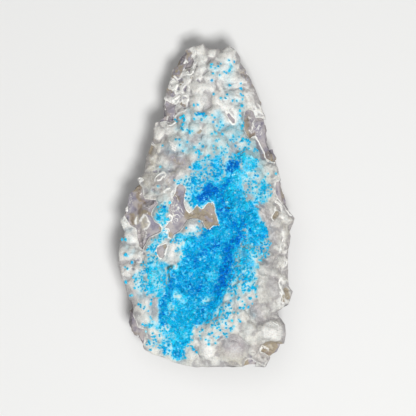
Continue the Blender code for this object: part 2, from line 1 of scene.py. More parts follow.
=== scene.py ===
"""Pentagonite on heulandite: the finish of a hand specimen that lies on its back.

Every place and size below is in millimetres, read from the middle of the face: +X right across
it, +Y to the narrow tip and +Z out of it. The crust and the rock are worked over copies of the
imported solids, and the blue crystals are sprays of blades that stand on the crust.
"""

import itertools
import math
import random

import bpy
import numpy as np
from mathutils import Matrix, Vector
from mathutils.bvhtree import BVHTree
from mathutils.kdtree import KDTree


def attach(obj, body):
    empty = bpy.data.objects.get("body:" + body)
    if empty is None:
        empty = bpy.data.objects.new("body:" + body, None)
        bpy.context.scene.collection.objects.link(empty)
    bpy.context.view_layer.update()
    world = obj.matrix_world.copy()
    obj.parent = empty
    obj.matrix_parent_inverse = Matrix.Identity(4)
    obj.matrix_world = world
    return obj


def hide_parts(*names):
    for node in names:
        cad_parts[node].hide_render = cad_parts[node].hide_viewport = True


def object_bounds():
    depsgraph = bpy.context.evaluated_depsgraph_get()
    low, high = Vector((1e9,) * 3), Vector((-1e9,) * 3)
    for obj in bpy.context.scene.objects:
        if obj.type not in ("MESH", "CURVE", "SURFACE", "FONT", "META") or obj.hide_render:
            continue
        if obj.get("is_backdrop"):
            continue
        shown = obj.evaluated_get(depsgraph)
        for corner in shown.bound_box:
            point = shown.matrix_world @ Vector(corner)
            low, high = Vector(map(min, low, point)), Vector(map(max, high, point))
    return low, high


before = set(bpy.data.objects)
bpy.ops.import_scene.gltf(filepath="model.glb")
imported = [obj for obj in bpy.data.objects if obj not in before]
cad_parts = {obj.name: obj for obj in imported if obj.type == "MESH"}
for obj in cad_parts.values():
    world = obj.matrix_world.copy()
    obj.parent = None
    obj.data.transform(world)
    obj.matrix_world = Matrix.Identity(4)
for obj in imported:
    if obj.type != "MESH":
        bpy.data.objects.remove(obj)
SOLID_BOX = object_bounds()

MM = 0.001
READING = np.array([-0.55, -0.5, 0.0])  # the readings' middle, seen from the specimen's own
MERGE = 1e-6  # metres
ABOVE = 90.0  # higher than any point of the specimen

# The camera looks straight down on the face, as the specimen was held up to it
CAMERA_SPOT = (0.5, -1.75)
FACE_LEVEL = 30.0
CAMERA_ABOVE = 900.0
PICTURE_WIDTH = 208.0
SENSOR_WIDTH = 36.0

# The crust: how far up its top's faces point at least, how finely they are cut, and their relief
TOP_SLOPE = 0.05
TOP_CUTS = 7
LUMP_RISE = 0.62
KNOB_SIZE, KNOB_RISE = 4.4, 1.1
CRUMB_SIZE, CRUMB_RISE = 2.5, 0.54
GRAIN_SIZE, GRAIN_RISE = 1.3, 0.27
CRINKLE_DEPTH = 2.1
PIT_DEPTH = 0.7
CREASE_DEPTH = 0.5
OUTLINE_FALL = 6.0  # where the rock lies this far below the crust, the specimen ends

# Windows in the crust: the bare white along them, its height over the rock, and how far the rock comes up
RIM_WIDTH = 0.5
RIM_HEIGHT = 0.7
DEEPEST_RISE = 2.4

# The rock's longest edges, cut finer in three rounds, and the heights where its face and its foot begin
ROCK_EDGES = (4.2, 2.1, 1.1)
ROCK_FACE = 20.0
ROCK_FOOT = 0.2

# Blue sprays: how far apart they grow at their thickest, their size and what thick and lone ones add to it,
# how many of them get a painted glint, and how many are joined in one piece
SPRAY_STEP = 0.9
SPRAY_SIZE = 0.70
THICK_GROWTH = 0.50
LONE_GROWTH = 0.3
GLINT_SHARE = 0.11
SPRAYS_A_PIECE = 2200
BLUE_REACH = 1.1  # how far a spray tints the crust around it
DRUSES = ("pentagonite_druse", "pentagonite_pocket_cluster", "pentagonite_crown_patch")

# Colours, as red, green and blue light
WHITE = (0.71, 0.695, 0.63)
COOL_WHITE = (0.625, 0.64, 0.61)
BRIGHT_WHITE = (0.90, 0.895, 0.855)
SHADE_GREY = (0.32, 0.30, 0.305)
SHADE_TEAL = (0.20, 0.33, 0.38)
LILAC_GREY = (0.36, 0.33, 0.375)
CREAM = (0.54, 0.50, 0.40)
PINK_GREY = (0.42, 0.355, 0.33)
DIM_GREY = (0.42, 0.405, 0.38)
ICE = (0.42, 0.63, 0.64)
MAUVE = (0.285, 0.268, 0.33)
DEEP_MAUVE = (0.16, 0.145, 0.19)
PALE_ROCK = (0.435, 0.40, 0.395)
KHAKI = (0.345, 0.29, 0.21)
BROWN = (0.26, 0.21, 0.17)
ROYAL = (0.0, 0.19, 0.78)
AZURE = (0.0, 0.52, 0.87)
SKY = (0.025, 0.775, 0.96)
FROST = (0.55, 0.92, 1.0)
AQUA = (0.16, 0.60, 0.76)
PEACOCK = (0.0, 0.33, 0.56)
SHADOW_TEAL = (0.0, 0.14, 0.17)
FLOOR_GREY = (0.72, 0.72, 0.71)

# Round lumps of the crust, and knobs that stand in the blue: middle and radius
LUMPS = (
    (-4, 77.6, 3), (11.2, 74.6, 5.2), (6.2, 74.3, 2.4), (2, 76, 2.6), (-2.8, 73, 3.4), (-2.5, 68.8, 3.2),
    (3.6, 69, 3.6), (8.6, 68.6, 3.2), (13.6, 69, 3), (2, 63.4, 3.2), (7.6, 64.2, 2.8), (13, 64.6, 3),
    (-4, 64, 3), (-4.6, 58, 4), (-9.6, 61.6, 2.8), (1.6, 58.6, 3), (17.4, 62, 3), (-13.4, 58.4, 2.8),
    (-12, 53.6, 3), (-4, 52.2, 4.4), (5, 53, 3.8), (11, 54, 3), (16.2, 54.8, 3.2), (21.4, 55, 3.2),
    (9.2, 49, 3), (4, 46.6, 4), (9.6, 42.6, 3.4), (-5, 45.2, 3.8), (-11.4, 43.8, 3.4), (-0.4, 42.6, 3.2),
    (15.8, 46.6, 2.8), (21.4, 50.6, 3), (25.8, 47.4, 2.6), (-18, 37.6, 3.6), (-12, 38.4, 3.4),
    (-6.6, 38, 3.2), (1.4, 37.4, 3.4), (11.8, 35.6, 3.4), (-23.4, 36, 3), (-16, 30, 5), (-4.6, 30.4, 3),
    (1, 31.4, 3.2), (7, 31, 4), (18.4, 31.4, 3.4), (22.6, 29.8, 3), (-23.2, 29, 3), (-26.6, 23.6, 2.8),
    (-22, 22, 3), (-6.6, 24, 3.8), (0.4, 25.6, 2.8), (6, 25.4, 3), (10.4, 27.4, 2.6), (20.8, 21.6, 4.4),
    (26, 20.8, 3.6), (24.4, 14.8, 3.6), (30, 17, 3), (16, 14, 2.6), (24.2, 8.4, 2.8), (31.6, 5, 3.2),
    (-28, 18, 3), (-25, 11.6, 7), (-14, 15.2, 2.8), (-8.6, -0.8, 2.2), (-22.6, -4, 3.4), (-40.4, -10, 2.4),
    (-37.6, -17, 3.2), (-40, -24.4, 4.2), (-35.2, -25.6, 3.4), (-28, -20, 3), (-24, -17.2, 2.2),
    (-7, -11, 4.4), (-17, -20.6, 2.8), (-17.6, -25.6, 3.6), (-27.6, -28, 3.2), (-34.4, -33, 3.8),
    (-40, -33, 3.4), (-28.4, -34.4, 3.6), (-22.6, -33.4, 3.2), (-36, -40, 3.8), (-29.4, -40.6, 3.6),
    (-23.4, -39.4, 3.4), (-31.6, -49.8, 4.6), (-31.6, -57, 3.6), (-28.2, -63.6, 3.4), (-24, -66, 3),
    (-28, -70, 2.8), (27.6, -3.6, 3.4), (32.6, -3, 3), (38, -6, 3), (34, -9.6, 3), (39, -14.6, 2.8),
    (34, -15.6, 3.2), (30.4, -19.6, 2.8), (36.4, -21.4, 3.6), (22.6, -25, 5.4), (31.6, -26.6, 3),
    (37.4, -29, 3), (29.8, -32, 3.8), (34.6, -34.6, 3.4), (17.4, -33, 3.4), (23.4, -33.6, 3),
    (38.6, -36.6, 3), (28, -38.4, 4), (32.6, -42, 5), (18.4, -40.4, 4), (39.4, -45, 2.8), (16.4, -48, 3.6),
    (28, -45, 4.4), (22.4, -47, 3.6), (34, -51, 3.4), (29, -53.8, 3.8), (17.4, -55.6, 3.8), (24, -56.6, 3),
    (10.4, -51.6, 3), (21.4, -62, 4), (32.6, -64, 7.2), (13.6, -60.4, 3.4), (7.6, -58.6, 3.4),
    (2.4, -62, 3.4), (20, -67.6, 3.6), (24.4, -69.6, 3.4), (-1, -67, 3.4), (0.4, -73.6, 5), (-6.6, -70, 3),
    (-8, -76.4, 3.2), (13, -72.4, 7), (17, -79.4, 3), (23.4, -74.4, 2.8), (27, -77.8, 3), (5, -78.6, 3),
)
KNOBS = (
    (8.4, 0.4, 2.4), (14.8, 1, 5.8), (14.5, 11, 3.2), (2.5, -35.5, 3), (5.5, -26, 2.6), (-18, -50, 2.8),
    (-14, -46, 3), (-11.5, -51, 3.4), (-2, -47, 3.4), (-21, -59, 2.8), (-12, -66, 3.4), (-16, -67, 2.6),
    (-8, -20, 3.2), (-2, -24, 3), (0, -17.5, 2.8), (13, -7.4, 2.6), (22, -8, 3.4), (-10, -34, 3.2),
    (-14, -38, 2.8), (-4, -38.5, 3), (-6, -56, 3.2), (-16, -57, 3), (26, -13, 3),
)

# Strokes on the crust: half width, and the points that each runs through
PITS_TO_GREY = (
    (0.8, (-14.5, 58.2)), (0.6, (-14, 55.1)), (0.6, (-13.2, 52.7)), (0.5, (-12.4, 53), (-10.4, 53.6)),
    (0.9, (-11.2, 57.8), (-10.8, 59.2)), (0.4, (-9.4, 49), (-9, 50.4)), (0.5, (-11, 48)),
    (0.8, (-14, 63.2), (-12.6, 62.8)), (0.5, (-4.5, 62.2), (-3.2, 61.2)), (0.5, (-5, 69.2)),
    (0.5, (-19.2, 26.6)), (0.6, (-18.5, 16.8)), (0.5, (-23.5, 16.7)), (0.5, (-26.6, 16.2), (-25.4, 16.8)),
    (0.6, (-17, 13.5)), (0.5, (-20.5, 9.2)), (0.5, (-26.8, 7.3)), (0.4, (-23.2, 8)),
    (0.5, (7.5, -66), (5.5, -67.5)), (0.6, (22, -76.3)), (0.6, (-34, -28)), (0.6, (-36.5, -32)),
    (0.5, (-31.5, -24.5)), (0.35, (-29.6, -65), (-29, -66.6)), (0.3, (-3.9, -75), (-3.2, -77)),
    (0.3, (-36.6, -28.4), (-35.4, -28.6), (-34.4, -27.6)), (0.35, (-37, -32)),
    (0.6, (12.2, -3.6), (12.8, -4.6)), (0.6, (25.6, 1), (28.6, -1.4)), (0.5, (24.6, -0.6), (26.4, -2.4)),
    (1.0, (25.2, 31), (26.6, 27.6), (28.5, 23.2)),
)
PITS_TO_KHAKI = (
    (1.4, (28, -71.4), (31, -69.6), (35.8, -70)), (0.5, (-13.5, 60.2)), (0.5, (-8, 63.5)),
    (0.9, (-28, 26), (-27.2, 29.2)), (0.55, (-4.5, 35.6), (-3.4, 36.7)), (1.1, (33.8, -6.3), (34.6, -4.4)),
    (1.0, (39.2, -42.6), (40.4, -46.6)), (0.7, (38.4, -46), (38.2, -48)),
)
# Painted shadow: dark teal in the cracks and under overhanging edges, over shallow pits
SHADOWED_PITS = (
    (0.9, (-19.3, -31.9), (-17.6, -30.8)), (0.4, (-18.8, -34.6), (-18.5, -36.2), (-18.8, -38.4)),
    (0.4, (-18.9, -38.6)), (0.55, (9.4, -1.6), (11.6, -1.5)), (0.3, (-12, -60.8), (-11, -61.4)),
    (0.35, (26.4, -18.8), (27.6, -19.4)), (0.25, (20.8, -11.8), (22.6, -12.4)),
)
LACE = (
    (0.55, (-6.2, 70.6), (-6.9, 68.6), (-7, 66.8), (-8, 65.6), (-9.4, 65.5), (-10.9, 65.6), (-11.4, 67.6)),
    (0.36, (-10.9, 65.8), (-9.8, 67.2), (-8.9, 66)), (0.3, (-11.6, 71.8), (-10.6, 72.8), (-9.8, 72.2)),
    (0.36, (-7.4, 74.6), (-6.2, 75.8), (-5.9, 77.4)), (0.26, (-5.2, 73.6), (-5, 72.2), (-5.8, 71)),
    (0.58, (-16.6, 62.8), (-15.4, 61), (-15.2, 59.2), (-15.9, 57.4),
     (-15.4, 56), (-13.8, 56.6), (-12.4, 56.4)),
    (0.58, (-12.4, 56.4), (-11.7, 54.6), (-9.9, 54.2), (-9.4, 52.4),
     (-10.4, 51), (-11.8, 51.2), (-12.6, 53.4)),
    (0.5, (-12.4, 56.4), (-12, 58.6), (-10.6, 60.2), (-9.3, 59.2), (-9.2, 57.2)),
    (0.42, (-18.4, 60.4), (-17.9, 58.5), (-16.3, 58.3), (-15.6, 60),
     (-16.2, 61.8), (-17.3, 62.4), (-18.3, 61.6)), (0.3, (-17.3, 60.9), (-17.0, 61.1)),
    (0.26, (-8.4, 58.2), (-8.1, 57.8)),
    (0.52, (-13.9, 52.4), (-15.5, 51), (-17.3, 51.8), (-16.5, 53.1), (-14.6, 53.8), (-13.4, 55)),
    (0.45, (-16.2, 45.6), (-16.6, 43.2), (-15.8, 41.2), (-17.4, 39.9), (-19.6, 39.5), (-21, 41.4)),
    (0.24, (-15.4, 44.8), (-13.7, 46.1), (-12, 46.6)), (0.24, (-20, 39.2), (-19.7, 37.6)),
    (0.22, (-20.5, 54.8), (-20.9, 52.4), (-21.3, 50), (-20.7, 46.6), (-21, 44.8)),
    (0.28, (-13.2, 63.8), (-15, 63.4), (-16.2, 64.4)), (0.24, (-9.6, 62), (-8.2, 62.8), (-7.4, 64.4)),
    (0.26, (-5.6, 64), (-4.2, 63.4), (-3.2, 61)), (0.3, (-27.4, 31.4), (-26.4, 30)),
    (0.34, (-34.2, 12.6), (-33.2, 13.6), (-32, 12.8), (-32.6, 11.6)), (0.28, (-18.6, 31.4), (-15.4, 29)),
    (0.28, (-18, 29.8), (-15.4, 27.6)), (0.26, (-17.4, 28.2), (-15.6, 26.6)),
    (0.42, (9.5, 44.6), (9.7, 46), (10.8, 46), (12.6, 44.2), (14.1, 42.2),
     (13.9, 40.5), (12.6, 40.3), (10.8, 42.4), (9.5, 44.6)),
    (0.3, (-25.8, 11.8), (-25.6, 13.6), (-23.6, 15.4), (-21.4, 16.2), (-20.5, 15), (-21.4, 13.4)),
    (0.26, (-24.6, 12), (-23, 12.6), (-21.8, 14)),
    (0.13, (-17.6, -2.6), (-16.6, -3.4), (-15.4, -3), (-14.8, -4)),
    (0.13, (-16.8, -5.4), (-15.4, -4.8), (-14, -5.6), (-13.4, -7)),
    (0.13, (-16, -7.6), (-15, -7), (-14.4, -8.4)), (0.13, (-13.4, -1.6), (-12.4, -2.8), (-12, -4.4)),
    (0.12, (-18, -1), (-17, -0.6), (-16.4, -1.4)), (0.12, (-15.6, 4.6), (-14.8, 3), (-14.4, 1)),
    (0.12, (-12.8, -5), (-11.6, -6)), (0.14, (22, 37.6), (23.4, 39.6), (23, 41.6), (24.4, 43)),
    (0.14, (24.6, 37.4), (25.8, 39.4), (27.4, 39.8)), (0.14, (21.6, 43.8), (22.6, 42.6)),
    (0.13, (26.6, 34.8), (27.6, 36.6)), (0.14, (-40.2, 0.4), (-39.8, -2)),
    (0.12, (-30.6, -1.4), (-28.8, -2.2)), (0.14, (-31.6, -12.6), (-30, -14.4)), (0.13, (-33, 6), (-34, 5)),
    (0.34, (-25.2, -21.4), (-25, -24.4), (-23.6, -26.8), (-22, -26.6)),
    (0.34, (-21.2, -25.6), (-20.4, -23), (-19.8, -20.4)), (0.28, (-21.4, 6.4), (-20.2, 7.8), (-18.8, 8.2)),
    (0.3, (-17.2, 7), (-17.8, 4.4), (-17, 2.4), (-18, 0.6)),
    (0.34, (24.3, 34.5), (26.6, 30.4), (28.6, 26), (30.2, 21.6)),
    (0.34, (-20.2, -14.2), (-21.2, -13.2), (-20.4, -12), (-19, -12.4), (-18.9, -13.6), (-20.2, -14.2)),
    (0.36, (-18.6, -5), (-17.4, -6), (-18, -7.8), (-19.8, -8.4)), (0.3, (-19.6, -6), (-18.8, -5.2)),
    (0.26, (33.7, 7.2), (35.5, 3.4), (34.3, 1.6), (36.5, -0.8), (37.6, -4.3), (38, -7)),
    (0.24, (34.4, -1.2), (34.1, -3.3), (32.4, -6.2), (33.2, -8)),
    (0.22, (38.2, 1.4), (39.6, -2.4), (41.6, -5.4)), (0.22, (38.4, -17.3), (36.6, -21.6), (36.8, -24.6)),
    (0.22, (39.2, -27.6), (38.4, -31.6)), (0.22, (37, -36.6), (35.9, -39.4), (37.6, -43.3)),
    (0.22, (36.6, -44), (38.2, -47), (37.6, -49.4)), (0.14, (29.4, -71.4), (27.6, -71), (26.6, -72.6)),
    (0.17, (33, -58.6), (35, -60.2)), (0.17, (31.6, -59.8), (33.8, -61.2)),
    (0.12, (34.6, -58.6), (36, -61)),
)
# Partly whiter crust, partly painted light: the broad strokes lighten stretches as if more light fell there,
# the narrow ones are whiter crust
WHITER_AND_LIT = (
    (1.0, (33, 9), (37, -2), (40, -8)), (0.8, (38, -12), (38.6, -24), (38, -34)),
    (0.8, (37, -38), (36.6, -50)), (4.4, (-9, 73), (-13, 64), (-9, 60)),
    (4.0, (-17, 47), (-20, 38), (-25, 36)), (4.6, (-39, -20), (-38, -36)), (3.4, (1, 74), (8, 72)),
    (2.6, (17, 61), (20, 56)), (3.0, (-4, 66), (-3, 60)), (3.4, (-12, 50), (-12, 44)),
    (3.4, (-36, -10), (-40, -16), (-38, -24)), (2.6, (-28.4, -12), (-31, -20)), (3.6, (31, -62), (35, -64)),
    (2.6, (-36, -36), (-33, -43)), (2.6, (-1.6, -70), (1.6, -75)), (2.2, (-2, 38), (-3, 34)),
    (2.6, (8, 51), (7.6, 44), (9, 41)), (2.0, (10.5, 48), (14.6, 45.6), (15, 41.6)),
    (3.4, (10, 76), (14, 73)), (2.4, (-3.4, 79), (-4.6, 76)), (1.6, (5.6, 74.4)), (1.6, (-3, 59), (-4, 62)),
    (2.2, (-6, 56), (-5, 53)), (1.8, (-9, 66), (-7, 67)), (2.4, (-13, 56), (-10.4, 53)),
    (2.4, (-2, -71), (2, -75)), (2.0, (-7, -11), (-6, -9)), (1.8, (-17, -20), (-18, -24)),
    (2.4, (24, 50), (27, 46)), (1.6, (33, -62), (36, -64)), (1.6, (-31.4, -23), (-34, -24)),
    (1.4, (37, 0), (39, -6)),
)
DULL_EDGES = (
    (2.6, (-8, 78), (-10, 73), (-14, 70), (-16, 65)), (1.8, (24, 47), (30, 43)),
    (2.0, (-22, 44), (-24, 41)), (2.4, (-36, 9), (-31, 7), (-31, 3)), (2.0, (-38, -14), (-34, -17)),
    (2.2, (19, 48), (19, 42)), (3.0, (14, -80), (20, -76)), (2.0, (31, 2), (36, 8)),
)
DARK_CREASES = (
    (0.45, (25.6, -1.6), (28.4, -4.4), (31.4, -6.8)), (0.4, (31.6, -14.6), (34, -12.6), (37, -11.8)),
    (0.5, (28.6, -27), (31.4, -26), (35.6, -23.4)), (0.5, (7.5, 60.3), (8.8, 58), (11.5, 57.6)),
    (0.5, (-17.5, 25.3), (-11.5, 25.3)), (0.4, (16, 66.5), (15.8, 64)), (0.4, (18, 66), (13.7, 64.5)),
    (0.6, (13.5, -47), (13.2, -56)), (0.45, (28.6, -57.4), (27, -61), (27.4, -65), (29.4, -69.4)),
    (0.45, (25.4, -36), (24.4, -42), (25, -48)),
)
CREAMY = (
    (2.6, (40, -8), (40.4, -20), (39.6, -36)), (3.2, (-25.6, 38), (-26.8, 30), (-28, 20), (-29, 12)),
    (1.6, (20, 53), (22, 48)), (3, (-8, 63), (-6, 60)), (1.6, (-12, 46.5), (-13, 49)),
    (2.4, (-4, 78), (11, 76)), (2.6, (13, -78), (17, -78.6)), (2.5, (-38, -28), (-41, -20)),
)
# Where the crust is greyer
GREYER = (
    (3.4, (-28, 13), (-22, 8)), (3.4, (-6, 17), (4, 23), (7, 19)), (2.4, (-17, 17), (-12, 21)),
    (1.6, (19, 8), (20.4, 2)),
)
PINKISH = (
    (2.6, (24, -72), (27, -77), (33, -76)), (2.6, (28, -11), (32, -9)), (2.4, (31, -21), (33, -25)),
    (4.4, (9, -71.4), (15, -72.6)), (3.2, (-15, 22), (-10.5, 21.5)), (2, (-21, 24.6), (-18, 22)),
    (2.2, (-12.4, 69.4), (-13.2, 66.2)), (2.6, (18.6, 66), (21, 60), (23, 54)), (2.2, (5, 17), (8, 17.6)),
    (1.8, (-1, 13)), (2.2, (-12.4, 48)), (2.6, (-41, -30), (-40, -38)), (2.4, (34.6, -13), (34, -17)),
    (3.4, (30, -9), (33, -13)), (1.8, (-30, -66), (-27, -70)), (2.2, (9, 14), (10, 12)),
    (2.0, (29, 4), (27, -2)), (2.0, (29.6, -5), (32, -8)), (1.6, (28, -16), (30, -18)),
    (1.8, (-20, 30), (-18, 26)), (2.2, (-25, 8), (-23, 12)),
)
# Partly the crust's own lilac, partly painted shade in the creases and on the shaded sides of lumps
LILAC_AND_SHADE = (
    (3.6, (-5, 19), (4, 23)), (2.0, (22.6, -6), (27, -8)), (2.6, (21, -9), (21.6, -13)),
    (2.6, (-17, 60), (-13.6, 50)), (1.8, (-10.8, 61), (-9.6, 50)), (1.6, (-8, 69), (-9, 63)),
    (1.2, (0.2, 50), (-1.4, 53.6)), (2, (-17, 55), (-18, 57)), (2.6, (26, 0), (31, -7)),
    (2.2, (26, -18), (27, -22)), (2.4, (29, -26), (31, -30)), (2.6, (33, -38), (36, -45)),
    (2.4, (-36, -45), (-24, -47)), (2.6, (-27, -46), (-27, -53)), (2.2, (13, 24), (13, 28)),
    (2.2, (20.4, 9), (20.4, 3)), (3.6, (11, -69), (16, -70.6)), (2.6, (30, -8), (33, -18)),
    (1.6, (26.6, -17.6), (30, -19)), (1.4, (33, -37), (31, -41)), (2.6, (22, -48), (26, -56)),
    (2.2, (-20, 27), (-14, 25)), (2.4, (-5, 33), (-9, 31)), (1.4, (2, 60), (5.4, 61)),
    (1.4, (1.4, 73.4), (2, 72.4)), (1.6, (-18, 9), (-16, 14)), (1.6, (-18, 20), (-12, 20)),
    (2.4, (-22, 12), (-19, 16)), (2.0, (16.6, 61), (20.4, 57)),
)
ICY = (
    (4, (24, 22), (27, 15), (24, 7)), (4.6, (2, 38), (8, 34), (14, 38)), (4.4, (-2, 26), (6, 28)),
    (3.4, (14, 46), (18, 54)), (4, (10, 66), (4, 68)), (3.4, (-10, 36), (-4, 42)), (4, (-13, 31), (-8, 28)),
    (3.6, (-4, 20), (3, 23)), (3, (24, 28), (20, 30)),
)

# Soft tints on the crust: how much they cover, half width, and points
AQUA_TINT = (
    (0.6, 0.9, (-38.7, -12.4)), (0.5, 0.9, (-39.4, -17.6)), (0.5, 0.8, (-40.4, -20.9)),
    (0.6, 1.1, (-37.8, -24.8), (-37, -24)), (0.6, 2.4, (24, 29), (30, 27)), (0.35, 0.8, (-23.6, 16.4)),
    (0.35, 0.8, (-20.6, 9), (-19.6, 8.4)), (0.3, 0.9, (-27, 7.4), (-25.6, 6.6)),
    (0.4, 1.0, (21.8, -52.4), (23.4, -55.4)), (0.95, 1.8, (6, 45), (7, 40.6), (10, 38.4), (14, 37.4)),
    (0.8, 2.2, (17.6, 43), (17, 37), (14, 34)), (0.6, 2.4, (26, 28.6), (30, 24)),
    (0.5, 3.2, (-33, -36), (-32, -44)), (0.5, 3.6, (-26, -31), (-25, -40)),
    (0.5, 2.6, (-13, 28.6), (-6, 28)), (0.5, 3.0, (17, -24), (20, -34)), (0.45, 2.6, (13, 34), (8, 31)),
    (0.5, 2.2, (19.4, 33), (21, 29.4)), (0.5, 3.0, (17, 26), (22, 25)),
    (0.8, 2.8, (25, 22), (25, 16), (22.8, 12)), (0.7, 2.4, (19, 26.6), (23, 26)),
    (0.6, 1.6, (22, 9), (23.6, 5)), (0.35, 2.2, (-6.6, 44), (0, 43)), (0.4, 2.0, (-13, 38), (-8, 37)),
    (0.35, 2.6, (-18.6, 27.6), (-14, 25.8)), (0.35, 2.2, (10.4, 60), (11, 55)),
    (0.5, 1.6, (17.4, 50), (17, 45)), (0.4, 1.6, (-9, 46), (-10, 41)), (0.45, 2.0, (-3, 33.6), (2, 30)),
    (0.5, 2.0, (9.6, 71), (11.6, 67.6)), (0.35, 1.6, (3, 68), (5.6, 66.4)),
    (0.35, 1.4, (12.4, 60), (10.4, 63)), (0.5, 2.4, (-2.6, -12.6), (-7, -13)),
    (0.4, 2.0, (-8, 10), (-12, 8)), (0.2, 2.6, (-24, 17), (-19, 18)), (0.4, 3.0, (12, -46), (9, -54)),
    (0.6, 2.0, (-24.6, -0.6), (-25.6, -5)), (0.5, 1.6, (-19.6, -3)), (0.3, 3.0, (20, -33), (20, -40)),
)
ROCKY = (
    (0.35, 2.4, (-14.6, 18.6), (-18.6, 15), (-21.6, 9)), (0.45, 1.8, (-20, 9.6), (-18, 13.6), (-15.4, 16)),
    (0.5, 2.6, (-6, 14), (0, 17), (6, 16)), (0.35, 2.0, (-1, 18), (4, 15.6)),
    (0.3, 2.4, (-27.6, 14), (-24, 7)), (0.95, 2.0, (-9.2, 75.4), (-11, 72), (-13.6, 68.4), (-15.8, 65)),
    (0.8, 1.3, (-9, 69), (-9.6, 66.8)), (0.85, 1.0, (-11.6, 59), (-11.2, 57.6)),
    (0.9, 1.3, (-18.8, 57.8), (-17.4, 55.2)), (0.8, 0.9, (-13.6, 54.4)),
    (0.8, 1.0, (-12.6, 50.6), (-11.4, 49.4)), (0.7, 0.8, (-14, 62), (-12.4, 61.4)),
    (0.75, 0.7, (-8.6, 57.6)), (0.6, 1.8, (17.4, 68.4), (19.4, 64.6), (22.6, 60.6)),
    (0.4, 1.5, (1, 73.4), (2.4, 72.8)), (0.35, 1.6, (20.4, 57), (24, 56)),
    (0.55, 2.2, (-12.6, 21.6), (-17, 23)), (0.35, 2.0, (-22.4, 12), (-18, 16)),
    (0.4, 1.4, (-19.6, 10), (-18, 5)), (0.6, 0.8, (20.2, 7.6), (20.4, 4)), (0.35, 1.2, (5, 17), (8, 17.4)),
    (0.5, 1.4, (-26.6, 33), (-27.6, 25)), (0.4, 1.6, (-37.4, -12), (-36.4, -15)),
    (0.5, 1.0, (-35.6, -30), (-34, -27.4)), (0.45, 1.2, (34.6, 1.6), (36, -2.4)),
)

# Lumps of the crust that are smooth all over
SMOOTH = (
    (6.8, (13, -73)), (3.6, (-7, -10.5), (-3, -10)), (4.6, (32, -61.6)), (4.5, (-31, 10), (-24, 9)),
    (4.0, (22.4, -25)), (3.6, (9, 50), (13.6, 45)), (3.8, (11.6, 75)), (3.4, (-31, -50), (-28, -49)),
    (2.6, (29, -36), (31, -42)), (3.4, (27, 17), (24, 10)), (3.5, (20, 21)), (3.6, (-16, 30)),
    (3.4, (2, 36), (8, 32)), (3.0, (-38, -22), (-40, -34)), (3.0, (14.8, 1)), (2.6, (-12, 21), (-18, 23)),
    (5.0, (-27, 12), (-23, 8)), (2.2, (-8, 75), (-12, 70)),
)

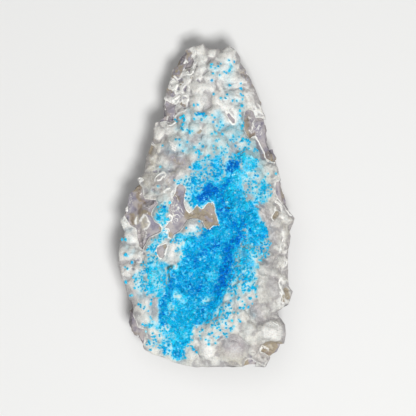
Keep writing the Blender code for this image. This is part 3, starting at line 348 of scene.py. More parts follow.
# Where the blue crystals grow, and where they don't: how much, half width, and points
BLUE = (
    (1.0, 8.5, (13, -3), (8, -14), (1, -23), (-3, -32), (-7, -42)), (1.0, 4.0, (12, -14), (13, -22)),
    (1.0, 6.0, (10, -12), (9, -24), (7, -32), (4.6, -41), (0, -48)), (0.95, 3.4, (5, -42), (3.6, -49)),
    (1.0, 7.0, (-7, -42), (-11, -50), (-13, -57)), (0.95, 4.8, (-14, -58), (-15, -67)),
    (0.95, 3.6, (-14.6, -68), (-14.6, -74.4)), (1.0, 5.0, (-2, -44), (-6, -52), (-10, -57)),
    (0.95, 3.0, (-6.5, 3.4), (0, 4)), (0.95, 1.9, (-5.8, 0.4), (0.4, 0.4)), (0.95, 2.0, (2, 2.6), (4.4, 2)),
    (1.0, 5.5, (3, 7), (10, 5), (13, 0)), (0.95, 4.0, (12.6, 18.6), (12, 12), (11, 6)),
    (0.95, 3.6, (14, 6), (16.6, 1)), (0.95, 4.0, (14, -6), (21, -4), (23, -11), (26.4, -14)),
    (0.9, 3.6, (13, -16), (20, -16.5), (24, -17.5)), (0.74, 2.5, (21, -1.2), (26.4, 4.6), (29.4, 9.6)),
    (0.6, 2.2, (26, 0.6), (28.4, 5)), (0.95, 4.0, (-6.6, -19), (-8, -27), (-13, -36), (-16, -44)),
    (1.0, 2.7, (-16.4, -35), (-17.2, -40), (-20, -47), (-22, -54), (-21.8, -58)),
    (0.7, 5.3, (17.6, -27), (18, -31), (15, -38)), (0.66, 2.4, (22, -21), (25, -25)),
    (0.36, 5.0, (15, -42), (19, -42)), (0.95, 3.4, (-2, -47), (-5, -57)),
    (0.66, 5.4, (-26, -31), (-25.4, -36), (-26, -40)),
    (0.6, 2.4, (-20.4, -13.6), (-24, -18.4), (-27, -23), (-27, -29)),
    (0.6, 2.0, (-22.6, -28.6), (-20, -30)), (0.6, 2.4, (-27, -22), (-27, -29)),
    (0.7, 1.8, (-18.8, -33.4), (-17.4, -32)), (0.34, 3.2, (-32.6, -33), (-34, -42)),
    (0.7, 2.4, (-22.4, -41), (-23.4, -45)), (0.16, 4.0, (-31, -50), (-29, -58)),
    (0.55, 2.8, (-28.4, -60), (-23.4, -62.4)), (0.16, 2.6, (-29.6, -59), (-29.4, -70)),
    (0.3, 2.2, (-26.6, -65), (-26.2, -70)), (0.62, 2.6, (-21.4, -65), (-20, -73)),
    (0.4, 2.6, (-14, -27), (-13, -22), (-11, -16)), (0.8, 2.4, (-19.6, -15.6), (-15.6, -16.6), (-12, -16)),
    (0.55, 2.4, (-9.4, -14), (-5, -13.4)), (0.6, 2.6, (-8.6, 9.6), (-4, 13.6), (0, 16), (6, 18)),
    (0.45, 2.0, (-14, 11), (-10, 12)), (0.34, 4.0, (1, 21), (8, 26)),
    (0.8, 3.0, (18.6, 23), (21.6, 22), (20.6, 19)), (0.7, 2.4, (14, 23.6), (18, 24)),
    (0.66, 2.6, (3, 17), (6, 24)), (0.75, 1.8, (19.4, 6), (24, 3.6)),
    (0.66, 3.0, (15.6, 17), (18, 13), (17, 8)), (0.2, 3.4, (21, 14), (24, 8)),
    (0.62, 3.0, (-9, 3), (-7, 8), (0, 12)), (0.75, 2.2, (-2, 11), (4, 13)), (0.6, 3.0, (-4, 19), (1, 22)),
    (0.85, 2.2, (5, 14.6), (7, 17)), (0.2, 3.6, (8, 30), (12, 31)), (0.24, 2.6, (19, 30), (23, 28)),
    (0.1, 3.6, (5, 38), (16, 38)), (0.05, 4.0, (-14, 30), (-4, 28)), (0.1, 1.8, (-6, 45), (-1, 44)),
    (0.04, 4.0, (-15, 43), (-10, 36)), (0.06, 2.6, (16.6, 40), (17, 52)), (0.06, 2.6, (4, 68), (12, 70)),
    (0.02, 6.0, (-14, 8), (-22, 8), (-20, 18)), (0.66, 3.0, (-22, -1.6), (-23.6, -6.4), (-21.6, -8.4)),
    (1.0, 1.7, (-21.6, -2)), (1.0, 1.3, (-24.4, -5.4), (-23, -8)), (0.24, 2.4, (-21, 3), (-24, 0)),
    (0.7, 3.4, (8, -42), (4, -49), (-1, -56)), (1.0, 3.0, (-9.6, -59), (-10.6, -67)),
    (0.25, 2.4, (-6, -61), (-7.6, -70)), (0.18, 4.5, (10, -52), (6, -59), (-2, -64)),
    (0.2, 2.6, (-7, -62), (-9, -72)), (0.5, 2.0, (-2, -12.6), (4, -13)),
    (0.05, 4.5, (-36, -13), (-39, -18)), (0.06, 4.0, (-38, -24), (-37, -32)),
    (0.14, 3.4, (30, 6), (31, 14)), (0.08, 4.0, (13, -56), (6, -66)), (0.1, 4.0, (-36, -38), (-37, -44)),
    (0.42, 2.6, (28.6, -20.6), (27, -26)), (0.55, 3.4, (21.6, -31), (21, -40), (21.6, -44)),
)
BARE_OF_BLUE = (
    (0.9, 1.3, (-9.4, -1.4), (-10.8, -2.6)), (0.8, 1.6, (-40, -9), (-40.6, -15)),
    (0.72, 3.4, (-18.4, -18.6), (-18.6, -25.6)), (0.7, 2.0, (20.4, 10), (21, 3)),
    (0.5, 1.6, (24, 13), (28, 14)), (0.5, 1.6, (-15.6, -45.4), (-12, -48.6)),
    (0.45, 1.6, (-18.6, -49.4), (-16, -52.4)), (0.25, 1.6, (4, -34.5), (1, -36.5)),
    (0.45, 2.0, (15, -23.6), (15.6, -26.6)), (0.4, 2.2, (14.6, -38.6), (15.6, -42)),
    (0.7, 2.6, (-36, -18), (-36, -29)), (0.5, 1.6, (1.6, -47.4), (-1, -49)),
    (0.8, 2.2, (-2, -8.6), (-6, -7.8)), (0.7, 2.2, (-3, -10.4), (-8, -10.6), (-12.4, -12.6)),
    (0.5, 2.4, (18, -47), (21, -44)), (0.8, 0.7, (19.4, -14.4), (19.8, -17.6)), (0.9, 1.4, (-24.4, -68)),
)

# Where the blue is deeper and paler than usual, partly its own tone and partly painted shade in the channels
# between lobes and painted light on the lobes' tops: by how much, half width, and points
DEEP_BLUE_AND_SHADE = (
    (0.12, 3.6, (-6, 15), (4, 20)), (0.55, 1.3, (-21.6, -2)), (0.2, 1.0, (-24.4, -5.6)),
    (0.12, 4.0, (-9, 9), (-4, 12)), (0.74, 3.0, (11.4, 19.4), (15, 19.6)),
    (0.78, 3.0, (-2.4, 4), (0.5, 6.5), (2.6, 7.4)), (0.5, 1.9, (16.9, -17), (10.4, -22.6), (9.2, -27)),
    (0.6, 1.7, (9.8, -26), (9.2, -31)), (0.52, 2.3, (9.4, -31), (8.8, -37), (6, -43.4)),
    (0.3, 1.8, (12, -26), (12.6, -33), (9, -40)), (0.34, 2.4, (16, -10), (18, -16)),
    (0.3, 2.2, (19.4, -8), (21, -12)), (0.34, 1.2, (5.5, -19.8), (-2.2, -24.3), (-6.5, -26.6)),
    (0.44, 1.0, (0, -30.6)), (0.34, 1.6, (-5, -43.3), (-3.5, -40)),
    (0.5, 0.8, (5, -2.6), (12, -3.2), (20.6, -4.4)), (0.3, 0.8, (7.4, 4), (8.6, -2), (9.4, -1.6)),
    (0.35, 0.8, (12.6, 12), (8.4, 9.6), (7, 6)),
    (0.26, 1.8, (-18, -36), (-18.6, -42), (-22, -49), (-23.6, -56), (-22.6, -60)),
    (0.14, 3.0, (-15, -38), (-9, -42)), (0.34, 1.8, (-8, -27), (-5, -28.6)),
    (0.1, 4.0, (-7, -28), (0, -24), (5, -20)), (0.18, 3.4, (7, -5), (13, -9.6)),
    (0.22, 1.8, (4.6, 6), (6.6, 0), (6.8, -6)), (0.34, 1.6, (29, -20), (26, -20.6)),
    (0.1, 4.0, (-13, -35), (-8, -44)), (0.2, 2.0, (0, -44), (-2.6, -52)),
)
PALE_BLUE_AND_LIT = (
    (0.3, 2.4, (15.6, -3), (19, -3.6)), (0.45, 2.6, (14.5, 10.5), (13, 8)),
    (0.35, 1.0, (20.2, 5.4), (20, 0)), (0.45, 1.4, (5.8, -25.4), (7.2, -28.6)),
    (0.25, 1.4, (2.5, -31.5), (3.6, -35.5)), (0.55, 1.8, (-18, -50.4)),
    (0.55, 1.6, (-15, -45.4), (-11.8, -48.4)), (0.55, 1.5, (-0.4, -46.8), (-1.8, -49)),
    (0.5, 1.4, (-17, -52.4)), (0.5, 1.6, (-12.4, -64), (-10.4, -66.4)),
    (0.45, 1.8, (-17.4, -65), (-15.4, -68)), (0.45, 1.4, (-22, -7.8)), (0.45, 2.4, (-22, 2), (-20, 3)),
    (0.25, 3.4, (-22, -2), (-23, -6)), (0.4, 3.0, (21, 18), (20.6, 24)),
    (0.12, 2.6, (14.6, 4), (17.4, 0.6)), (0.5, 0.7, (19.6, 5.6), (20.2, 0.6), (18.4, -2)),
    (0.5, 0.6, (9.4, -13.6), (10, -14)), (0.6, 3.0, (16, 15), (18.4, 17.6)),
    (0.45, 2.0, (-9.6, -17.6), (-12, -20)), (0.35, 1.6, (-13.6, -25), (-14.4, -32)),
    (0.3, 1.6, (2, -15), (5, -14)), (0.3, 2.4, (22, -9), (25, -12)), (0.12, 6.0, (-10, -50), (-15, -62)),
    (0.3, 3.0, (-26, -34), (-25, -44)), (0.35, 2.6, (-26, -61), (-24, -63)),
)

# Single sprays that stand out in the photo
STRAYS = (
    (-6.4, 49.2), (-5.6, 45.2), (-4.4, 45.3), (-3.4, 45.2), (-1.5, 44.8), (2.6, 44.4), (13.2, 33.6),
    (14.6, 32.4), (15.8, 33.8), (11.6, 32.2), (20.6, 32), (21.4, 31.2), (8.6, 66.4), (9.6, 65.8),
    (16.7, 58.2), (17.5, 57.9), (2.2, 70), (6.8, 70.6), (5.5, 69.1), (3, 65.4), (6.5, 64.7), (11, 67.2),
    (11.6, 68.2), (12.3, 69.2), (11.8, 70.3), (13.5, 71.8), (11.2, 59.9), (17, 60.9), (2.5, 62), (3.4, 55),
    (10.1, 54.7), (9.2, 53.2), (7, 52.8), (16.9, 55.3), (17.3, 54.7), (18, 54.5), (12.8, 51.9),
    (17.4, 49.4), (-4.5, 49.7), (-5, 44.6), (-4.2, 44.7), (-3.4, 44.6), (-2.6, 44.8), (-1.8, 44),
    (-1.8, 45.5), (-6.2, 42.6), (-2.5, 42), (-12.2, 44.1), (-11.4, 44), (3.8, 43.4), (3, 41), (16.3, 46.8),
    (16.5, 44.5), (18.3, 41), (17.7, 39.5), (17.2, 38), (-12.4, 38), (-10, 37), (-8.5, 36.5), (2.5, 35),
    (3.8, 36), (4.8, 31.7), (-22.2, 29.5), (-13.5, 29.5), (-12, 26.7), (-21.6, -1.2), (-21, -2.4),
    (-22.4, -2.6), (-21.8, -3.6), (-24.6, -5), (-23.8, -6.4), (-22.4, -7.4), (-24.6, -7.2), (18, 32.5),
    (17, 31.5), (19.8, 31.5), (14.3, 29.3), (19, 28.3), (20.7, 10.4), (28.5, 11.5), (-5, -11.3),
    (-4.4, -11.7), (-2, -12), (-4, -8.5), (25.5, -2.3), (25.3, -6.8), (16.5, -37), (18.5, -37.5),
    (16, -39.5), (13.8, -41), (17.5, -41.3), (22, -41.3), (23.6, -41.3), (20.5, -42.5), (14, -43.5),
    (11, -43.3), (18.7, -49.5), (16.4, -51), (18, -51.3), (11, -50), (12, -51.5), (7, -53.3), (10, -54.2),
    (11.5, -54), (8.3, -55), (1.3, -56.8), (3, -58.2), (-1.3, -57.5), (2.5, -60), (4.7, -61.2),
    (6.2, -62.5), (9.5, -58.7), (12.5, -57.6), (16.2, -58), (12, -61.5), (13.3, -60.5), (9.2, -64.7),
    (9.8, -64.2), (1.2, -64.5), (0.8, -67.8), (-0.6, -67.3), (4.3, -69), (0.8, -69.7), (21, -46.4),
    (17.5, -48), (15.5, -47), (20.5, -51), (-33, -50), (-31, -51), (-27, -69.5), (-26.5, -66), (-29, -59.5),
    (-23, -61.5), (-28.5, -73), (-7.3, -71), (-6.6, -72.5), (-10.8, -77), (-5, -74.5), (-37.5, -45.3),
    (-36, -41.5), (-36, -36.5),
)

# Strokes on bare rock: half width, and points
KHAKI_ROCK = (
    (3.6, (-8.6, -4.2), (-6, -3.6), (-3.4, -5), (1, -2.6), (4, -8.6), (1.4, -10.6)),
    (1.6, (-16.2, 4), (-14.6, 2.4)), (1.4, (-18.6, -15.4)), (0.5, (-15.2, 9.2), (-14.6, 8.2)),
    (0.9, (-34.6, 7), (-33.6, 2), (-33.8, -1)), (1.3, (-37.4, -6.6), (-36.6, -9)), (1.6, (-32, -4.4)),
    (0.9, (-23.6, -11.6)), (0.8, (-30.4, -4), (-28.6, -4.6)), (0.8, (-33.2, -4.6), (-33, -7)),
    (1.2, (-36, 7), (-34, 8.4)), (1.0, (-37.6, -5), (-37, -8.6)),
    (0.9, (20.4, 44), (19.4, 39), (20.4, 35), (22, 33.8)), (2.4, (31.2, 24.6), (34.6, 21.6)),
    (4, (26, -73), (33, -73.4)), (3.4, (12, -80), (18, -80)), (1.2, (37.6, -3), (39.6, -4)),
    (0.7, (-21.2, -19.6), (-21.4, -21)),
)
WHITE_ROCK = (
    (0.35, (-40.6, -1), (-40, -3)), (0.5, (-29, -1)), (0.4, (-16.4, 6), (-16.8, 4.6)),
    (0.45, (-33.8, -8.4), (-31.3, -5.3), (-28.8, -9), (-29.4, -11.8), (-31.2, -12.4)),
    (0.5, (-35.6, -6.4), (-35.4, -9.4)), (0.3, (-14.6, -0.6), (-14, -1.4)),
    (0.35, (21.6, 44.4), (22.4, 43.2)), (0.25, (22.6, 37.4), (23.8, 40.6), (24.4, 43.6)),
    (0.25, (25.2, 38), (26.6, 40.8)), (0.25, (27.4, 38.6), (27.6, 35.8)), (0.35, (21, 37.4), (22.4, 36.2)),
    (0.4, (-22.6, 45.6), (-21.6, 44.4)), (0.35, (-19.6, 44.2), (-19.2, 43.2)),
    (0.4, (26.4, -73.6), (28.4, -71.4), (30.2, -73)),
)
CREAM_ROCK = (
    (0.5, (27.6, -72.4), (29.4, -71.2)), (0.5, (31, -70.6), (32, -72.4)), (0.4, (29.6, -73.6), (31, -74.2)),
    (1.9, (-31.4, -8.4), (-31, -10.4)), (0.8, (-35.2, -6), (-35, -9)), (1.4, (-9.6, 73), (-8.4, 76.4)),
    (1.4, (-13, 68), (-14.4, 65.6)), (1.0, (-16, -8.6), (-15.4, -7)),
)
PINK_ROCK = (
    (1.2, (1.4, -2.4), (2.6, -4)), (1.2, (-16, -8), (-14, -8.4)), (1.6, (-13.5, 46.5), (-11, 50)),
    (1.2, (-20, 44), (-18, 46)), (1, (-14, -4), (-15.4, -5)),
)
LILAC_ROCK = (
    (2.0, (-14.6, -0.6), (-13.6, -4), (-16, -8.6)), (1.1, (0.4, -6.6), (2.2, -8)), (0.7, (-3.4, -3.4)),
    (1.6, (-20, 50), (-18, 47)), (1.4, (-16, 3), (-14.4, -1)), (2.0, (24.6, 42), (26.6, 37), (28, 32)),
    (1.4, (-28, -11), (-27, -7)), (1.8, (-39, 4), (-38.6, -3)), (1.4, (-14.4, 7), (-12.6, 5)),
)
BANDED_ROCK = (
    (2.6, (-16, -0.6), (-15.4, -4), (-16.6, -8)), (2.4, (25.4, 37), (26, 43)),
    (1.8, (-38.4, 4), (-39.4, -3)), (1.6, (-33, -13), (-31, -17)),
)
BROWN_ROCK = (
    (0.8, (-33.8, 8), (-34.4, 3)), (0.6, (-33, 2), (-31, 1.2)), (0.9, (-34.6, -1), (-33.6, -4)),
    (0.6, (-37.8, -6), (-37, -9)), (0.7, (-15, 6), (-14.4, 3)), (0.9, (20.6, 43), (20, 38)),
    (0.4, (-1.4, -5.8), (0.6, -4.9), (3.2, -6.4), (3.9, -8.6), (2.6, -9.9)),
    (0.35, (-1.4, -6.6), (0.2, -8.9)), (0.4, (-2, -5), (-4.6, -6.6)), (0.8, (22, 34.6), (24, 35.6)),
    (0.8, (27, -75), (31, -74.6)),
)
DEEP_ROCK = (
    (0.5, (-32, 2.2), (-28, 1.2), (-25.4, 1.6)), (2.4, (-37.5, -58), (-37, -54)),
    (1.2, (29.4, 28), (31, 24)), (1.4, (-12, -2), (-13, 3)), (1.6, (35, -54.4)),
    (1, (-12.4, -9.4), (-15, -12)),
)


# Numbers over many points at once


def smooth(share):
    """Eases a share of a step between 0 and 1."""
    share = np.clip(share, 0, 1)
    return share * share * (3 - 2 * share)


# Turns the grid behind the noise out of line with the face
SKEW = np.array(Matrix.Rotation(0.9, 3, (0.3, 0.5, 0.81)))


def chance(cells, seed):
    """A fixed draw between 0 and 1 for each whole-numbered cell."""
    mixed = np.sin(cells @ np.array([12.9898, 78.233, 37.719]) + 11.137 * seed) * 43758.5453
    return mixed - np.floor(mixed)


def rough(points, size, seed):
    """Soft noise between -1 and 1, with features of the size given."""
    scaled = points @ SKEW / size
    low = np.floor(scaled)
    share = smooth(scaled - low)
    total = np.zeros(len(points))
    for corner in itertools.product((0, 1), repeat=3):
        weight = np.prod(np.where(corner, share, 1 - share), axis=1)
        total += weight * chance(low + corner, seed)
    return 2 * total - 1


def cells(points, size, seed):
    """Distance to the nearest of scattered seeds, and that seed's cell."""
    scaled = points / size
    low = np.floor(scaled)
    nearest = np.full(len(points), np.inf)
    home = np.zeros_like(low)
    for step in itertools.product((-1, 0, 1), repeat=3):
        cell = low + step
        middle = cell + np.stack([chance(cell, seed + axis) for axis in range(3)], axis=1)
        away = np.linalg.norm(scaled - middle, axis=1)
        home = np.where((away < nearest)[:, None], cell, home)
        nearest = np.minimum(nearest, away)
    return nearest * size, home


def to_path(points, path):
    """Distance across the face from each point to a path, which may be one point."""
    stretches = list(zip(path, path[1:])) or [(path[0], path[0])]
    nearest = np.full(len(points), np.inf)
    for start, end in stretches:
        way = np.subtract(end, start)
        offset = points[:, :2] - start
        along = np.clip(offset @ way / max(way @ way, MERGE), 0, 1)
        gap = offset - along[:, None] * way
        nearest = np.minimum(nearest, np.hypot(gap[:, 0], gap[:, 1]))
    return nearest


def painted(points, strokes, edge):
    """How far strokes cover each point, fading out over an edge. Each says how much it covers at most."""
    cover = np.zeros(len(points))
    for most, half_width, *path in strokes:
        share = smooth((half_width - to_path(points, path)) / edge + 0.5)
        cover = np.maximum(cover, most * share)
    return cover


def covered(points, strokes, edge):
    """As painted, for strokes that cover fully."""
    return painted(points, [(1, *stroke) for stroke in strokes], edge)


def wavy(points, size, reach, seed):
    """The points shifted across the face by noise."""
    shifted = points.copy()
    shifted[:, 0] += reach * rough(points, size, seed)
    shifted[:, 1] += reach * rough(points, size, seed + 1)
    return shifted


def domes(points, lumps, rise, blend):
    """Height of round lumps that lean against each other, blended a little where they meet."""
    total = np.zeros(len(points))
    for x, y, radius in lumps:
        reach = ((points[:, 0] - x) ** 2 + (points[:, 1] - y) ** 2) / radius**2
        total += np.exp(np.clip(rise * radius * (1 - 0.75 * reach), -2.5, None) / blend)
    return blend * np.log(total)


def knobs(points, size, rise, seed):
    """Height of knobs of about one size all over, with creases where they meet."""
    away, _ = cells(points, size, seed)
    return rise * (1 - 1.6 * (away / size) ** 2)


def soften(values, edges, held, rounds):
    """Levels values with their neighbours', except as far as they are held."""
    count = len(values)
    ends = edges.ravel()
    others = edges[:, ::-1].ravel()
    share = 1 / np.maximum(np.bincount(ends, minlength=count), 1)
    level = values.copy()
    for _ in range(rounds):
        mean = np.bincount(ends, weights=level[others], minlength=count) * share
        level += (1 - held) * (mean - level)
    return level


# Meshes


def pick(*pieces):
    """Selects these pieces alone and makes the first one active."""
    bpy.ops.object.select_all(action="DESELECT")
    for piece in pieces:
        piece.select_set(True)
    bpy.context.view_layer.objects.active = pieces[0]


def added(name, data):
    """A new object in the scene."""
    thing = bpy.data.objects.new(name, data)
    bpy.context.scene.collection.objects.link(thing)
    return thing


def joined(pieces):
    """One object made of several."""
    pick(*pieces)
    bpy.ops.object.join()
    return bpy.context.active_object


def read(items, name, width=1, kind=float):
    """One property of all the points, edges, corners or faces of a mesh."""
    values = np.empty(len(items) * width, dtype=kind)
    items.foreach_get(name, values)
    return values.reshape(-1, width) if width > 1 else values


def points_of(mesh):
    """The mesh's points, as read from the middle of the face."""
    return read(mesh.vertices, "co", 3) / MM + READING


def set_points(mesh, points):
    mesh.vertices.foreach_set("co", ((points - READING) * MM).ravel())
    mesh.update()


def points_in(mesh, wanted):
    """Which points belong to a wanted face."""
    found = np.zeros(len(mesh.vertices), dtype=bool)
    corners = read(mesh.loops, "vertex_index", kind=np.int32)
    totals = read(mesh.polygons, "loop_total", kind=np.int32)
    found[corners[np.repeat(wanted, totals)]] = True
    return found


def store(mesh, name, values):
    """Keeps a value for each point, for the material to read."""
    attribute = mesh.attributes.new(name, "FLOAT", "POINT")
    attribute.data.foreach_set("value", np.ascontiguousarray(values, dtype=np.float32))


def worked_copy(node, name):
    """A copy of a solid to work on, with its loose triangles merged."""
    piece = added(name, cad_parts[node].data.copy())
    piece.data.materials.clear()
    pick(piece)
    bpy.ops.mesh.customdata_custom_splitnormals_clear()
    bpy.ops.object.mode_set(mode="EDIT")
    bpy.ops.mesh.select_all(action="SELECT")
    bpy.ops.mesh.remove_doubles(threshold=MERGE)
    bpy.ops.object.mode_set(mode="OBJECT")
    return piece


def select_faces(piece, wanted):
    """Selects the wanted faces and goes into edit mode."""
    pick(piece)
    bpy.context.tool_settings.mesh_select_mode = (False, False, True)
    bpy.ops.object.mode_set(mode="EDIT")
    bpy.ops.mesh.select_all(action="DESELECT")
    bpy.ops.object.mode_set(mode="OBJECT")
    piece.data.polygons.foreach_set("select", wanted)
    bpy.ops.object.mode_set(mode="EDIT")


def cut_finely(piece, wanted, cuts):
    """Subdivides the wanted faces."""
    select_faces(piece, wanted)
    bpy.ops.mesh.subdivide(number_cuts=cuts)
    bpy.ops.mesh.select_all(action="DESELECT")
    bpy.ops.object.mode_set(mode="OBJECT")


def tree_over(mesh):
    """A search tree over a mesh, in readings."""
    faces = [tuple(face.vertices) for face in mesh.polygons]
    return BVHTree.FromPolygons(points_of(mesh).tolist(), faces)


def under(tree, x, y):
    """Where a plumb line over a place first meets a tree's mesh, and the normal there."""
    spot, normal, _, _ = tree.ray_cast(Vector((x, y, ABOVE)), Vector((0, 0, -1)))
    return spot, normal


def tree_of(spots):
    """A search tree over separate spots."""
    tree = KDTree(len(spots))
    for index, spot in enumerate(spots):
        tree.insert(spot, index)
    tree.balance()
    return tree


def distances(points, spots):
    """Distance from each point to the nearest spot."""
    tree = tree_of(spots)
    return np.array([tree.find(point)[2] for point in points])


# Materials


class Wire:
    """An output of a shader node. Arithmetic on it adds Math nodes."""

    def __init__(self, finish, socket):
        self.finish = finish
        self.socket = socket

    def maths(self, operation, *values):
        return self.finish.node("ShaderNodeMath", {"operation": operation}, dict(enumerate(values)))

    def __add__(self, other):
        return self.maths("ADD", self, other)

    def __sub__(self, other):
        return self.maths("SUBTRACT", self, other)

    def __mul__(self, other):
        return self.maths("MULTIPLY", self, other)

    def __radd__(self, other):
        return self.maths("ADD", other, self)

    def __rsub__(self, other):
        return self.maths("SUBTRACT", other, self)

    def __rmul__(self, other):
        return self.maths("MULTIPLY", other, self)

    def sine(self):
        return self.maths("SINE", self)

    def step(self, low, high):
        """0 below low and 1 above high, eased between."""
        span = {"interpolation_type": "SMOOTHSTEP"}
        return self.finish.node("ShaderNodeMapRange", span, {0: self, 1: low, 2: high, 3: 0.0, 4: 1.0})


class Finish:
    """A material that is put together from expressions."""

    def __init__(self, name):
        self.material = bpy.data.materials.new(name)
        self.material.use_nodes = True
        self.tree = self.material.node_tree
        self.tree.nodes.clear()

    def node(self, kind, settings, sockets, output=0):
        """A node with its settings made and its sockets filled or linked."""
        node = self.tree.nodes.new(kind)
        for name, value in settings.items():
            setattr(node, name, value)
        for name, value in sockets.items():
            if isinstance(value, Wire):
                self.tree.links.new(value.socket, node.inputs[name])
            elif isinstance(value, tuple) and node.inputs[name].type == "RGBA":
                node.inputs[name].default_value = (*value, 1.0)
            else:
                node.inputs[name].default_value = value
        return Wire(self, node.outputs[output]) if node.outputs else None

    def place(self):
        """Where on the piece, in millimetres."""
        place = self.node("ShaderNodeTexCoord", {}, {}, "Object")
        per_mm = (1 / MM,) * 3
        return self.node("ShaderNodeVectorMath", {"operation": "MULTIPLY"}, {0: place, 1: per_mm})

    def kept(self, name):
        """A value that the mesh keeps for each of its points."""
        return self.node("ShaderNodeAttribute", {"attribute_name": name}, {}, "Fac")

    def grain(self, place, size, detail=2.0, roughness=0.5):
        """Noise between 0 and 1, with features of the size given."""
        sockets = {"Vector": place, "Scale": 1 / size, "Detail": detail, "Roughness": roughness}
        return self.node("ShaderNodeTexNoise", {}, sockets)

    def wavy(self, place, size, reach):
        """A place shifted by noise, by up to about half the reach."""
        sockets = {"Vector": place, "Scale": 1 / size, "Detail": 2.0}
        noise = self.node("ShaderNodeTexNoise", {}, sockets, "Color")
        shift = self.node("ShaderNodeVectorMath", {"operation": "MULTIPLY"}, {0: noise, 1: (reach,) * 3})
        return self.node("ShaderNodeVectorMath", {"operation": "ADD"}, {0: place, 1: shift})

    def dots(self, place, size):
        """Distance to the nearest of scattered seeds, as a share of their spacing."""
        return self.node("ShaderNodeTexVoronoi", {}, {"Vector": place, "Scale": 1 / size})

    def mix(self, share, first, second):
        """A colour between two others."""
        return self.node("ShaderNodeMix", {"data_type": "RGBA"}, {0: share, 6: first, 7: second}, 2)

    def layers(self, colour, *coats):
        """A colour under coats, each with the share that it covers and its own colour."""
        for share, coat in coats:
            colour = self.mix(share, colour, coat)
        return colour

    def bump(self, height, depth):
        """A normal for a relief that is depth millimetres deep."""
        return self.node("ShaderNodeBump", {}, {"Height": height, "Distance": depth * MM, "Strength": 1.0})

    def done(self, sockets):
        """The material, with its surface filled in."""
        surface = self.node("ShaderNodeBsdfPrincipled", {}, sockets)
        self.node("ShaderNodeOutputMaterial", {}, {"Surface": surface})
        return self.material


def heulandite_finish():
    """White to cream, sugary and a little translucent, with lilac shade in the hollows."""
    finish = Finish("heulandite")
    kept = finish.kept
    place = finish.place()
    cloud = finish.grain(place, 7.0, 3.0)
    mottle = finish.grain(place, 2.0, 4.0, 0.75)
    grain = finish.grain(place, 0.9, 3.0, 0.6)
    fine = finish.grain(place, 0.34, 2.0)
    sugar = finish.dots(finish.wavy(place, 1.0, 0.5), 0.75)
    shade = finish.mix(kept("halo"), SHADE_GREY, SHADE_TEAL)
    rock = finish.mix(mottle.step(0.4, 0.6), MAUVE, KHAKI)
    colour = finish.layers(
        WHITE,
        (cloud.step(0.35, 0.65), COOL_WHITE),
        (kept("icy") * 0.55, ICE),
        (kept("creamy") * cloud.step(0.2, 0.6) * 0.8, CREAM),
        (kept("pinkish") * grain.step(0.2, 0.6) * 0.7, PINK_GREY),
        # Lilac tint, partly painted shade in the creases
        (kept("lilac") * (0.4 + 0.4 * grain), LILAC_GREY),
        (kept("halo") * cloud.step(0.1, 0.8) * 0.3, ICE),
        # Painted shade on the right side, and greyer patches
        (kept("greyed_and_shaded") * 0.5, DIM_GREY),
        (mottle.step(0.45, 0.75) * 0.28, shade),
        # Whiter crust, and painted light at the tip and on the left
        (kept("whiter_and_lit") * 0.8, BRIGHT_WHITE),
        (kept("aqua") * cloud.step(0.1, 0.6) * 0.8, AQUA),
        # Painted shade in the hollows and creases, and a painted highlight on the crests
        (kept("hollow") * (0.28 + 0.3 * grain), shade),
        (kept("crest_highlight") * 0.3, BRIGHT_WHITE),
        (kept("crease") * 0.6, shade),
        ((kept("rocky") + 0.6 * grain - 0.3).step(0.2, 0.8), rock),
        ((kept("blue") + 0.5 * grain - 0.25).step(0.1, 1.0) * 0.5, SKY),
        ((kept("blue") + 0.6 * fine - 0.3).step(0.5, 0.9), AZURE),
        (kept("beside_blue") * 0.42, SKY),
        # Painted shadow in the cracks
        (kept("pit_shadow"), SHADOW_TEAL),
        (kept("lace"), BRIGHT_WHITE),
        ((kept("curl") + 0.8 * grain - 0.4).step(0.3, 0.6) * 0.9, BRIGHT_WHITE),
        (kept("grey_pit") * 0.7, MAUVE),
        (kept("khaki_pit"), KHAKI),
        ((0.6 - fine).step(0.0, 0.3) * 0.2, SHADE_GREY),
        # Painted sparkle: white specks on the sugary grains, with grey specks between them
        ((0.34 - sugar).step(0.0, 0.16) * grain.step(0.45, 0.6) * 0.6, BRIGHT_WHITE),
        ((sugar - 0.56).step(0.0, 0.2) * 0.25, SHADE_GREY),
    )
    return finish.done({
        "Base Color": colour,
        "Roughness": 0.42 + 0.3 * grain,
        "Specular IOR Level": 0.4,
        "Subsurface Weight": 0.2,
        "Subsurface Radius": (1.0, 0.85, 0.75),
        "Subsurface Scale": 1.2 * MM,
        "Normal": finish.bump(0.7 * grain + 0.3 * fine - 0.35 * sugar, 0.5),
    })


def lace_finish():
    """Bright white and matt, with faint grey dust."""
    finish = Finish("heulandite_lace")
    place = finish.place()
    dust = finish.grain(place, 1.4, 3.0)
    return finish.done({
        "Base Color": finish.mix(dust.step(0.45, 0.75) * 0.5, BRIGHT_WHITE, COOL_WHITE),
        "Roughness": 0.45 + 0.3 * dust,
        "Normal": finish.bump(finish.grain(place, 0.4), 0.15),
    })


